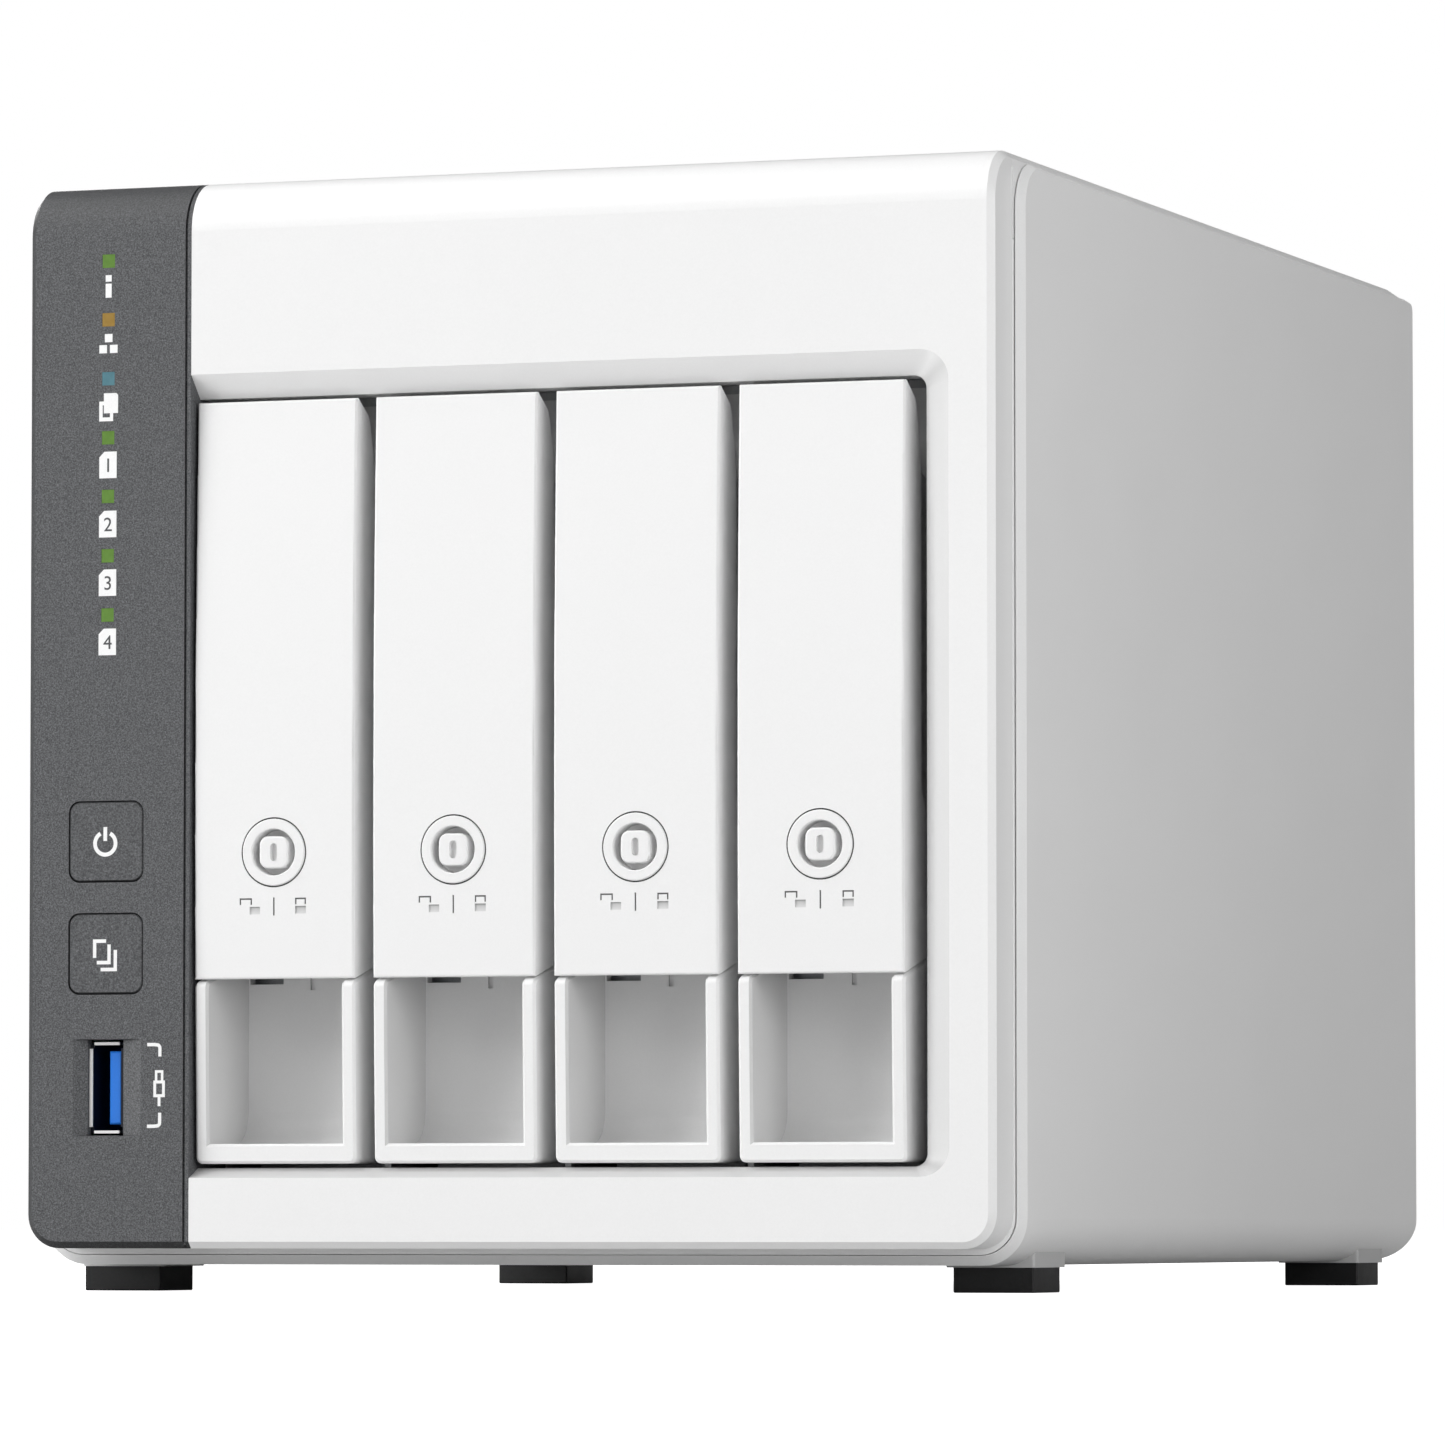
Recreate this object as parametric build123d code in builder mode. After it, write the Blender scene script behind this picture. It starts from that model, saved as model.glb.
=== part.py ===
# Four-bay network attached storage unit.
# Frame: +X to the right seen from the front, +Y to the rear, +Z up.
# Origin: centre of the bounding box at the feet's underside.  Millimetres.
import math
import os

from build123d import *

os.makedirs("parts", exist_ok=True)

# ---------------------------------------------------------------- driving dimensions
WIDTH = 160.0
DEPTH = 226.0
HEIGHT = 170.7
Y_FRONT = -DEPTH / 2
Y_REAR = DEPTH / 2

# front bezel and control panel share one blank
BEZEL_HALF = 78.46          # half width of the bezel's sides
BEZEL_BOTTOM = 6.62
BEZEL_BACK = -104.2
BEZEL_TOP_R = 8.0           # rounding between the front face and the top
BEZEL_CORNER_R = 5.2        # lower corners seen from the front
BEZEL_CHAMFER = 1.03
SPLIT_X = -51.24            # where the dark control panel meets the white bezel

# tray opening in the bezel: outer edge on the front face, inner edge at the bevel's foot
OPEN_OUT = (71.40, 17.35, 140.55)
OPEN_OUT_R = 4.6
OPEN_IN = (66.77, 18.87, 137.00)
OPEN_IN_R = 2.0
BEVEL_DEPTH = 3.6

# outer shell
SHELL_IN_X = 78.78
SHELL_BOTTOM = 4.12
SHELL_FLOOR = 5.62
SHELL_TOP = 169.5
SHELL_EDGE_DROP = 0.74      # the outer edge of the side walls lies this far below their top
SHELL_REAR_R = 1.5
SHELL_R = 7.0
SHELL_LIP_Y = -103.64       # front tip of the shell's lip
SHELL_LIP_BACK = -102.11    # where the lip's chamfer reaches full width
SHELL_LIP_X = 78.87
SHELL_LIP_Z = 5.53
SHELL_SPLIT_Z = 150.0

# trays
BAYS = 4
TRAY_PITCH = 29.465
TRAY_LEFT = -50.71
TRAY_W = 26.42
TRAY_Z0 = 19.54
TRAY_Z1 = 136.53
CROWN_MID_Z = 78.03
CROWN_HALF = 58.49
CROWN_RISE = 0.997
TRAY_FACE_Y = -112.40
RIM_T = 2.2
POCKET_BACK_Y = -96.0
HANDLE_Z0 = 47.60
SEAM_SLOPE = math.tan(math.radians(14.0))
PIVOT_Y = -107.8
PIVOT_Z = 120.5
PIN_R = 0.8
LOCK_Z = 67.0
MARK_DEPTH = 0.22
MARK_LINE = 0.24

# drives: the 3.5 inch form factor
DRIVE_T = 26.1
DRIVE_H = 101.6
DRIVE_L = 147.0
DRIVE_Y0 = -92.0
DRIVE_Z0 = 27.2

# control panel features
PANEL_CX = -65.1
LED_SIZE = 2.07
LED_Z = [158.60, 149.52, 140.40, 131.27, 122.21, 113.04, 103.90]
BUTTON = 12.2
BUTTON_X = -65.2
POWER_Z = 69.0
COPY_Z = 51.77
BUTTON_TRAVEL = 1.0
USB_CX = -65.52
USB_CZ = 31.23

# feet
FOOT_W = 12.73
FOOT_OUT_X = 77.70
FOOT_Y = [(-92.25, -79.26), (84.03, 97.02)]
PAD_Z = 3.80
PAD_OUT_X = 77.95
PAD_IN_X = 64.0
PAD_FRONT = 0.2
PAD_REAR = 1.9

# rear side
REAR_IN = 109.7
REAR_OUT = 110.9
FAN_X = 7.0
FAN_Z = 88.0
FAN = 120.0
FAN_Y0 = 84.4
FAN_Y1 = 109.4
FAN_HOLE = 52.5
REAR_SCREWS = [(x, z) for x in (-71.0, 71.0) for z in (17.0, 153.5)] + [(-25.0, 160.5), (40.0, 160.5)]


# ---------------------------------------------------------------- helpers
def xz(y):
    """Plane seen from the front at depth y: local x is +X, local y is +Z, normal -Y."""
    return Plane.XZ.offset(-y)


def block(x0, x1, y0, y1, z0, z1, mode=Mode.ADD):
    """Box between two corners, joined to the part being built."""
    with Locations(((x0 + x1) / 2, (y0 + y1) / 2, (z0 + z1) / 2)):
        Box(abs(x1 - x0), abs(y1 - y0), abs(z1 - z0), mode=mode)


def rod_y(x, z, r, y0, y1, mode=Mode.ADD):
    """Round rod along Y between two depths."""
    with Locations(Location((x, (y0 + y1) / 2, z), (90, 0, 0))):
        Cylinder(r, abs(y1 - y0), mode=mode)


def rod_x(y, z, r, x0, x1, mode=Mode.ADD):
    """Round rod along X."""
    with Locations(Location(((x0 + x1) / 2, y, z), (0, 90, 0))):
        Cylinder(r, abs(x1 - x0), mode=mode)


def rod_z(x, y, r, z0, z1, mode=Mode.ADD):
    """Round rod along Z."""
    with Locations((x, y, (z0 + z1) / 2)):
        Cylinder(r, abs(z1 - z0), mode=mode)


def u_outline(half, bottom, top, r):
    """Closed outline with two rounded lower corners, drawn in an XZ sketch."""
    with BuildLine() as outline:
        Line((-half, bottom + r), (-half, top))
        Line((-half, top), (half, top))
        Line((half, top), (half, bottom + r))
        RadiusArc((half, bottom + r), (half - r, bottom), r)
        Line((half - r, bottom), (-half + r, bottom))
        RadiusArc((-half + r, bottom), (-half, bottom + r), r)
    make_face(outline.edges())


def opening_outline(right, bottom, top, r, left=-70.0):
    """Tray opening's outline: rounded on the right, running past the control panel on the left."""
    with BuildLine() as outline:
        Line((left, bottom), (right - r, bottom))
        RadiusArc((right - r, bottom), (right, bottom + r), -r)
        Line((right, bottom + r), (right, top - r))
        RadiusArc((right, top - r), (right - r, top), -r)
        Line((right - r, top), (left, top))
        Line((left, top), (left, bottom))
    make_face(outline.edges())


def crown_y(z):
    """Depth of the trays' gently crowned front face at height z."""
    return TRAY_FACE_Y + CROWN_RISE * ((z - CROWN_MID_Z) / CROWN_HALF) ** 2


def bezel_blank(inset=0.0):
    """Front blank: rounded into the top, rounded lower corners, chamfered edge all round."""
    half = BEZEL_HALF - inset
    bottom = BEZEL_BOTTOM + inset
    top = HEIGHT - inset
    front = Y_FRONT + inset
    r = BEZEL_TOP_R - inset
    with BuildSketch(Plane.YZ.offset(-half)) as side:
        with BuildLine():
            Line((front, bottom), (front, top - r))
            RadiusArc((front, top - r), (front + r, top), r)
            Line((front + r, top), (BEZEL_BACK, top))
            Line((BEZEL_BACK, top), (BEZEL_BACK, bottom))
            Line((BEZEL_BACK, bottom), (front, bottom))
        make_face()
    extrude(side.sketch, amount=2 * half)
    with BuildSketch(xz(BEZEL_BACK + 1.0)) as face_on:
        u_outline(half, bottom, top + 5.0, BEZEL_CORNER_R - inset)
    extrude(face_on.sketch, amount=20.0, mode=Mode.INTERSECT)


def bezel_rim():
    """Flared rim behind the blank that slides inside the shell."""
    with BuildPart() as rim:
        with BuildSketch(xz(BEZEL_BACK)):
            u_outline(78.34, 6.74, 157.5, 5.1)
        with BuildSketch(xz(BEZEL_BACK + 0.42)):
            u_outline(78.60, 5.72, 157.5, 5.66)
        loft(ruled=True)
        with BuildSketch(xz(-100.6)):
            u_outline(78.60, 5.72, 157.5, 5.66)
        extrude(amount=-100.6 - (BEZEL_BACK + 0.42))
        with BuildSketch(xz(BEZEL_BACK)):
            u_outline(78.34, 6.74, 157.5, 5.1)
        extrude(amount=0.3)
        with BuildSketch(xz(-99.0)):
            u_outline(76.9, 8.3, 160.0, 3.6)
        extrude(amount=8.0, mode=Mode.SUBTRACT)
    return rim.part


def bezel_edges(part):
    """Outer edges that carry the bezel's chamfer."""
    picked = []
    for e in part.edges():
        c = e.center()
        if c.Y > BEZEL_BACK - 0.05:
            continue
        line = e.geom_type == GeomType.LINE
        d = e.tangent_at(0.5)
        if line and abs(d.X) > 0.9 and c.Z > 50:
            continue
        if line and abs(d.Y) > 0.9 and c.Z < 50:
            continue
        picked.append(e)
    return picked


# ---------------------------------------------------------------- front bezel
with BuildPart() as front_bezel:
    bezel_blank()
    chamfer(bezel_edges(front_bezel.part), BEZEL_CHAMFER)
    # rim behind the bezel that slides inside the shell; it runs on behind the control panel
    add(bezel_rim())
    # white part of the blank lies right of the control panel
    block(-90, SPLIT_X + 0.04, -120, BEZEL_BACK, 0, 180, mode=Mode.SUBTRACT)
    # bevelled opening
    with BuildSketch(xz(Y_FRONT)):
        opening_outline(*[OPEN_OUT[0], OPEN_OUT[1], OPEN_OUT[2]], OPEN_OUT_R)
    with BuildSketch(xz(Y_FRONT + BEVEL_DEPTH)):
        opening_outline(*[OPEN_IN[0], OPEN_IN[1], OPEN_IN[2]], OPEN_IN_R)
    loft(ruled=True, mode=Mode.SUBTRACT)
    with BuildSketch(xz(-98.0)):
        opening_outline(*[OPEN_IN[0], OPEN_IN[1], OPEN_IN[2]], OPEN_IN_R)
    extrude(amount=-98.0 - (Y_FRONT + BEVEL_DEPTH), mode=Mode.SUBTRACT)
    # hollows behind the top, right and lower bars, with ribs left between them
    for x0, x1 in ((-48.5, -12.0), (-10.5, 30.0), (31.5, 76.0)):
        block(x0, x1, -110.6, BEZEL_BACK + 1, 143.2, 165.6, mode=Mode.SUBTRACT)
    for z0, z1 in ((22.0, 76.0), (77.5, 139.0)):
        block(73.2, 76.0, -110.8, BEZEL_BACK + 1, z0, z1, mode=Mode.SUBTRACT)
    for x0, x1 in ((-48.5, 9.0), (10.5, 68.0)):
        block(x0, x1, -110.8, BEZEL_BACK + 1, 8.9, 15.2, mode=Mode.SUBTRACT)
front_bezel.part.label = "front_bezel"
export_step(front_bezel.part, "parts/front_bezel.step")

# ---------------------------------------------------------------- control panel
with BuildPart() as control_panel:
    bezel_blank()
    chamfer(bezel_edges(control_panel.part), BEZEL_CHAMFER)
    block(SPLIT_X, 90, -120, -95, 0, 180, mode=Mode.SUBTRACT)
    # hollow behind the face
    block(-76.3, -53.5, -110.6, BEZEL_BACK + 1, 9.2, 165.4, mode=Mode.SUBTRACT)
    # side wall of the tray opening runs on to the cage
    block(-53.5, SPLIT_X, BEZEL_BACK - 0.5, -98.6, 12.0, 141.0)
    # button guides
    for z in (POWER_Z, COPY_Z):
        block(BUTTON_X - 8.3, BUTTON_X + 8.3, -110.7, -107.2, z - 8.3, z + 8.3)
    for z in (POWER_Z, COPY_Z):
        block(BUTTON_X - 7.2, BUTTON_X + 7.2, -110.6, -107.0, z - 7.2, z + 7.2, mode=Mode.SUBTRACT)
    with BuildSketch(xz(-109.0)):
        with Locations((BUTTON_X, POWER_Z), (BUTTON_X, COPY_Z)):
            RectangleRounded(BUTTON + 0.36, BUTTON + 0.36, 1.85)
    extrude(amount=6.0, mode=Mode.SUBTRACT)
    # light windows
    with BuildSketch(xz(-109.0)):
        with Locations(*[(PANEL_CX, z) for z in LED_Z]):
            Rectangle(LED_SIZE + 0.04, LED_SIZE + 0.04)
    extrude(amount=6.0, mode=Mode.SUBTRACT)
    # USB opening with sloped sides
    with BuildSketch(xz(-109.0)):
        with Locations((USB_CX, USB_CZ)):
            Rectangle(6.0, 14.66)
    extrude(amount=6.0, mode=Mode.SUBTRACT)
    with BuildSketch(xz(Y_FRONT)):
        with Locations((USB_CX + 0.62, USB_CZ)):
            Rectangle(11.32, 14.88)
    with BuildSketch(xz(Y_FRONT + 0.9)):
        with Locations((USB_CX, USB_CZ)):
            Rectangle(6.0, 14.66)
    loft(ruled=True, mode=Mode.SUBTRACT)
    # fine groove near the right edge, over the front and the rounded top
    with BuildPart(mode=Mode.PRIVATE) as groove_tool:
        block(-52.24, -51.84, -114, BEZEL_BACK + 1, 0, 180)
    with BuildPart(mode=Mode.PRIVATE) as groove_core:
        bezel_blank(inset=0.45)
    add(groove_tool.part - groove_core.part, mode=Mode.SUBTRACT)
control_panel.part.label = "control_panel"
export_step(control_panel.part, "parts/control_panel.step")

# ---------------------------------------------------------------- top panel
with BuildPart() as top_panel:
    with BuildSketch(xz(112.4)):
        with BuildLine():
            Polyline((-BEZEL_HALF, 168.4), (-BEZEL_HALF, HEIGHT - BEZEL_CHAMFER),
                     (-BEZEL_HALF + BEZEL_CHAMFER, HEIGHT), (BEZEL_HALF - BEZEL_CHAMFER, HEIGHT),
                     (BEZEL_HALF, HEIGHT - BEZEL_CHAMFER), (BEZEL_HALF, 168.4), close=True)
        make_face()
    extrude(amount=112.4 + 104.12)
    # side skirts inside the shell, stiffening ribs underneath
    for s in (-1, 1):
        block(s * 76.9, s * 78.34, -104.12, 109.4, 157.56, 168.5)
        block(s * 77.5, s * 78.60, -103.78, 109.4, 157.56, 168.5)
    for y in (-60.0, -10.0, 40.0):
        block(-76.9, 76.9, y - 0.8, y + 0.8, 164.0, 168.5)
    # sloped rear end
    with BuildSketch(Plane.YZ.offset(-90)):
        with BuildLine():
            Polyline((106.0, HEIGHT), (120.0, HEIGHT), (120.0, 168.75), (112.5, 168.75), close=True)
        make_face()
    extrude(amount=180, mode=Mode.SUBTRACT)
top_panel.part.label = "top_panel"
export_step(top_panel.part, "parts/top_panel.step")

# ---------------------------------------------------------------- main shell
with BuildPart() as main_shell:
    # lower part: a trough with a chamfered front lip
    with BuildSketch(xz(SHELL_LIP_Y)):
        u_outline(SHELL_LIP_X, SHELL_LIP_Z, SHELL_SPLIT_Z, 5.85)
    with BuildSketch(xz(SHELL_LIP_BACK)):
        u_outline(WIDTH / 2, SHELL_BOTTOM, SHELL_SPLIT_Z, SHELL_R)
    loft(ruled=True)
    with BuildSketch(xz(Y_REAR)):
        u_outline(WIDTH / 2, SHELL_BOTTOM, SHELL_SPLIT_Z, SHELL_R)
    extrude(amount=Y_REAR - SHELL_LIP_BACK)
    # rounded rear foot (side view)
    with BuildPart(mode=Mode.PRIVATE) as rear_foot:
        with BuildSketch(Plane.YZ.offset(-90)):
            with BuildLine():
                Line((Y_REAR - SHELL_R, SHELL_BOTTOM), (Y_REAR + 5, SHELL_BOTTOM))
                Line((Y_REAR + 5, SHELL_BOTTOM), (Y_REAR + 5, SHELL_BOTTOM + SHELL_R))
                Line((Y_REAR + 5, SHELL_BOTTOM + SHELL_R), (Y_REAR, SHELL_BOTTOM + SHELL_R))
                RadiusArc((Y_REAR, SHELL_BOTTOM + SHELL_R), (Y_REAR - SHELL_R, SHELL_BOTTOM), SHELL_R)
            make_face()
        extrude(amount=180)
        block(-90, 90, Y_REAR - SHELL_R, Y_REAR + 5, SHELL_BOTTOM - 3, SHELL_BOTTOM + 0.0005)
    add(rear_foot.part, mode=Mode.SUBTRACT)
    # inside of the trough
    with BuildPart(mode=Mode.PRIVATE) as shell_inside:
        with BuildSketch(Plane.YZ.offset(-SHELL_IN_X)):
            with BuildLine():
                Line((-120, SHELL_FLOOR), (Y_REAR - 7.0, SHELL_FLOOR))
                RadiusArc((Y_REAR - 7.0, SHELL_FLOOR), (Y_REAR - 1.5, SHELL_FLOOR + 5.5), -5.5)
                Line((Y_REAR - 1.5, SHELL_FLOOR + 5.5), (130, SHELL_FLOOR + 5.5))
                Line((130, SHELL_FLOOR + 5.5), (130, 190))
                Line((130, 190), (-120, 190))
                Line((-120, 190), (-120, SHELL_FLOOR))
            make_face()
        extrude(amount=2 * SHELL_IN_X)
        with BuildSketch(xz(140)):
            u_outline(SHELL_IN_X, SHELL_FLOOR, 195.0, 5.76)
        extrude(amount=280, mode=Mode.INTERSECT)
    add(shell_inside.part, mode=Mode.SUBTRACT)
    # upper side walls: the chamfer carries on round the front top corner and fades into the top edge
    for s in (-1, 1):
        with BuildSketch(Plane.YZ.offset(s * WIDTH / 2)):
            with BuildLine():
                Line((SHELL_LIP_BACK, SHELL_SPLIT_Z), (SHELL_LIP_BACK, SHELL_TOP - 7.5))
                ThreePointArc((SHELL_LIP_BACK, SHELL_TOP - 7.5),
                              (SHELL_LIP_BACK + 5.97 * (1 - math.cos(math.pi / 4)),
                               SHELL_TOP - 7.5 + (7.5 - SHELL_EDGE_DROP) * math.sin(math.pi / 4)),
                              (SHELL_LIP_Y + 7.5, SHELL_TOP - SHELL_EDGE_DROP))
                Line((SHELL_LIP_Y + 7.5, SHELL_TOP - SHELL_EDGE_DROP), (Y_REAR - SHELL_REAR_R, SHELL_TOP - SHELL_EDGE_DROP))
                RadiusArc((Y_REAR - SHELL_REAR_R, SHELL_TOP - SHELL_EDGE_DROP),
                          (Y_REAR, SHELL_TOP - SHELL_EDGE_DROP - SHELL_REAR_R), SHELL_REAR_R)
                Line((Y_REAR, SHELL_TOP - SHELL_EDGE_DROP - SHELL_REAR_R), (Y_REAR, SHELL_SPLIT_Z))
                Line((Y_REAR, SHELL_SPLIT_Z), (SHELL_LIP_BACK, SHELL_SPLIT_Z))
            make_face()
        with BuildSketch(Plane.YZ.offset(s * SHELL_LIP_X)):
            with BuildLine():
                Line((SHELL_LIP_Y, SHELL_SPLIT_Z), (SHELL_LIP_Y, SHELL_TOP - 7.5))
                ThreePointArc((SHELL_LIP_Y, SHELL_TOP - 7.5),
                              (SHELL_LIP_Y + 7.5 * (1 - math.cos(math.pi / 4)),
                               SHELL_TOP - 7.5 + 7.5 * math.sin(math.pi / 4)),
                              (SHELL_LIP_Y + 7.5, SHELL_TOP))
                Line((SHELL_LIP_Y + 7.5, SHELL_TOP), (Y_REAR - SHELL_REAR_R, SHELL_TOP))
                RadiusArc((Y_REAR - SHELL_REAR_R, SHELL_TOP), (Y_REAR, SHELL_TOP - SHELL_REAR_R), SHELL_REAR_R)
                Line((Y_REAR, SHELL_TOP - SHELL_REAR_R), (Y_REAR, SHELL_SPLIT_Z))
                Line((Y_REAR, SHELL_SPLIT_Z), (SHELL_LIP_Y, SHELL_SPLIT_Z))
            make_face()
        loft(ruled=True)
        with BuildSketch(Plane.YZ.offset(s * SHELL_LIP_X)):
            with BuildLine():
                Line((SHELL_LIP_Y, SHELL_SPLIT_Z), (SHELL_LIP_Y, SHELL_TOP - 7.5))
                ThreePointArc((SHELL_LIP_Y, SHELL_TOP - 7.5),
                              (SHELL_LIP_Y + 7.5 * (1 - math.cos(math.pi / 4)),
                               SHELL_TOP - 7.5 + 7.5 * math.sin(math.pi / 4)),
                              (SHELL_LIP_Y + 7.5, SHELL_TOP))
                Line((SHELL_LIP_Y + 7.5, SHELL_TOP), (Y_REAR - SHELL_REAR_R, SHELL_TOP))
                RadiusArc((Y_REAR - SHELL_REAR_R, SHELL_TOP), (Y_REAR, SHELL_TOP - SHELL_REAR_R), SHELL_REAR_R)
                Line((Y_REAR, SHELL_TOP - SHELL_REAR_R), (Y_REAR, SHELL_SPLIT_Z))
                Line((Y_REAR, SHELL_SPLIT_Z), (SHELL_LIP_Y, SHELL_SPLIT_Z))
            make_face()
        extrude(amount=-s * (SHELL_LIP_X - SHELL_IN_X))
    # air slots in the floor
    with BuildSketch(Plane.XY.offset(SHELL_FLOOR + 1)):
        with GridLocations(9.0, 60.0, 11, 2):
            SlotOverall(34.0, 3.0, rotation=90)
    extrude(amount=-4.0, mode=Mode.SUBTRACT)
main_shell.part.label = "main_shell"
export_step(main_shell.part, "parts/main_shell.step")

# ---------------------------------------------------------------- foot pads and feet
with BuildPart() as foot_pads:
    for s in (-1, 1):
        for y0, y1 in FOOT_Y:
            with BuildSketch(xz(y1 + PAD_REAR)):
                cx, cz, ri = WIDTH / 2 - SHELL_R, SHELL_BOTTOM + SHELL_R, SHELL_R + 0.02
                a = math.asin((PAD_OUT_X - cx) / ri)
                with BuildLine():
                    Line((s * PAD_IN_X, PAD_Z), (s * PAD_OUT_X, PAD_Z))
                    Line((s * PAD_OUT_X, PAD_Z), (s * PAD_OUT_X, cz - ri * math.cos(a)))
                    ThreePointArc((s * PAD_OUT_X, cz - ri * math.cos(a)),
                                  (s * (cx + ri * math.sin(a / 2)), cz - ri * math.cos(a / 2)),
                                  (s * cx, cz - ri))
                    Line((s * cx, cz - ri), (s * PAD_IN_X, cz - ri))
                    Line((s * PAD_IN_X, cz - ri), (s * PAD_IN_X, PAD_Z))
                make_face()
            extrude(amount=y1 - y0 + PAD_FRONT + PAD_REAR)
    corner = [e for e in foot_pads.edges().filter_by(Axis.Z) if abs(e.center().X) > PAD_OUT_X - 0.1]
    fillet(corner, 0.45)
foot_pads.part.label = "foot_pads"
export_step(foot_pads.part, "parts/foot_pads.step")

with BuildPart() as feet:
    for s in (-1, 1):
        for y0, y1 in FOOT_Y:
            block(s * (FOOT_OUT_X - FOOT_W), s * FOOT_OUT_X, y0, y1, 0.0, PAD_Z)
    fillet(feet.edges().filter_by(Axis.Z), 0.25)
    fillet(feet.edges().group_by(Axis.Z)[0], 0.25)
feet.part.label = "feet"
export_step(feet.part, "parts/feet.step")


# ---------------------------------------------------------------- buttons on the control panel
def make_button(z):
    with BuildPart() as button:
        with BuildSketch(xz(-110.5)):
            with Locations((BUTTON_X, z)):
                RectangleRounded(BUTTON, BUTTON, 1.7)
        extrude(amount=-110.5 - Y_FRONT)
        face = button.faces().sort_by(Axis.Y)[0]
        chamfer(face.edges(), 0.2)
        # retaining flange behind the panel and the stem that reaches the switch
        block(BUTTON_X - 6.8, BUTTON_X + 6.8, -110.5, -109.6, z - 6.8, z + 6.8)
        rod_y(BUTTON_X, z, 2.5, -110.0, -107.5)
    return button


power_button = make_button(POWER_Z)
power_button.part.label = "power_button"
export_step(power_button.part, "parts/power_button.step")
copy_button = make_button(COPY_Z)
copy_button.part.label = "copy_button"
export_step(copy_button.part, "parts/copy_button.step")


# ---------------------------------------------------------------- light windows (light pipes)
def make_windows(heights):
    with BuildPart() as windows:
        for z in heights:
            h = LED_SIZE / 2
            block(PANEL_CX - h, PANEL_CX + h, -112.98, -110.6, z - h, z + h)
            block(PANEL_CX - 1.6, PANEL_CX + 1.6, -110.58, -104.6, z - 1.6, z + 1.6)
            block(PANEL_CX - h, PANEL_CX + h, -110.7, -110.4, z - h, z + h)
    return windows


led_windows_green = make_windows([LED_Z[0], LED_Z[3], LED_Z[4], LED_Z[5], LED_Z[6]])
led_windows_green.part.label = "led_windows_green"
export_step(led_windows_green.part, "parts/led_windows_green.step")
led_window_amber = make_windows([LED_Z[1]])
led_window_amber.part.label = "led_window_amber"
export_step(led_window_amber.part, "parts/led_window_amber.step")
led_window_blue = make_windows([LED_Z[2]])
led_window_blue.part.label = "led_window_blue"
export_step(led_window_blue.part, "parts/led_window_blue.step")

# ---------------------------------------------------------------- front USB socket
with BuildPart() as usb_front_shell:
    block(USB_CX - 2.9, USB_CX + 2.9, -111.6, -97.0, USB_CZ - 7.0, USB_CZ + 7.0)
    fillet(usb_front_shell.edges().filter_by(Axis.Y), 0.5)
    block(USB_CX - 2.4, USB_CX + 2.4, -113.0, -97.4, USB_CZ - 6.56, USB_CZ + 6.56, mode=Mode.SUBTRACT)
    # relief cuts at the corners of the folded sheet
    for a in (-1, 1):
        for b in (-1, 1):
            block(USB_CX + a * 2.1, USB_CX + a * 3.2, -112.0, -110.9, USB_CZ + b * 6.0, USB_CZ + b * 7.3, mode=Mode.SUBTRACT)
usb_front_shell.part.label = "usb_front_shell"
export_step(usb_front_shell.part, "parts/usb_front_shell.step")

with BuildPart() as usb_front_tongue:
    block(USB_CX + 0.25, USB_CX + 2.32, -111.1, -98.0, USB_CZ - 5.6, USB_CZ + 5.6)
    block(USB_CX - 2.36, USB_CX + 2.36, -99.4, -97.45, USB_CZ - 6.52, USB_CZ + 6.52)
    tip = usb_front_tongue.faces().sort_by(Axis.Y)[0]
    chamfer(tip.edges(), 0.25)
usb_front_tongue.part.label = "usb_front_tongue"
export_step(usb_front_tongue.part, "parts/usb_front_tongue.step")

# ---------------------------------------------------------------- board behind the control panel
with BuildPart() as front_io_board:
    block(-76.0, -54.4, -103.0, -101.4, 14.0, 162.0)
    block(USB_CX - 3.6, USB_CX + 3.6, -104, -100, USB_CZ - 7.8, USB_CZ + 7.8, mode=Mode.SUBTRACT)
    for x, z in ((-73.5, 18.0), (-73.5, 158.0), (-57.0, 90.0)):
        rod_y(x, z, 1.6, -104, -100, mode=Mode.SUBTRACT)
front_io_board.part.label = "front_io_board"
export_step(front_io_board.part, "parts/front_io_board.step")

with BuildPart() as front_board_components:
    for z in (POWER_Z, COPY_Z):
        block(BUTTON_X - 3, BUTTON_X + 3, -105.9, -103.0, z - 3, z + 3)
        rod_y(BUTTON_X, z, 1.7, -106.4, -105.8)
    for z in LED_Z:
        block(PANEL_CX - 1.0, PANEL_CX + 1.0, -104.1, -103.0, z - 0.8, z + 0.8)
    block(-74.5, -71.0, -107.0, -103.0, 84.0, 100.0)
front_board_components.part.label = "front_board_components"
export_step(front_board_components.part, "parts/front_board_components.step")

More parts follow.
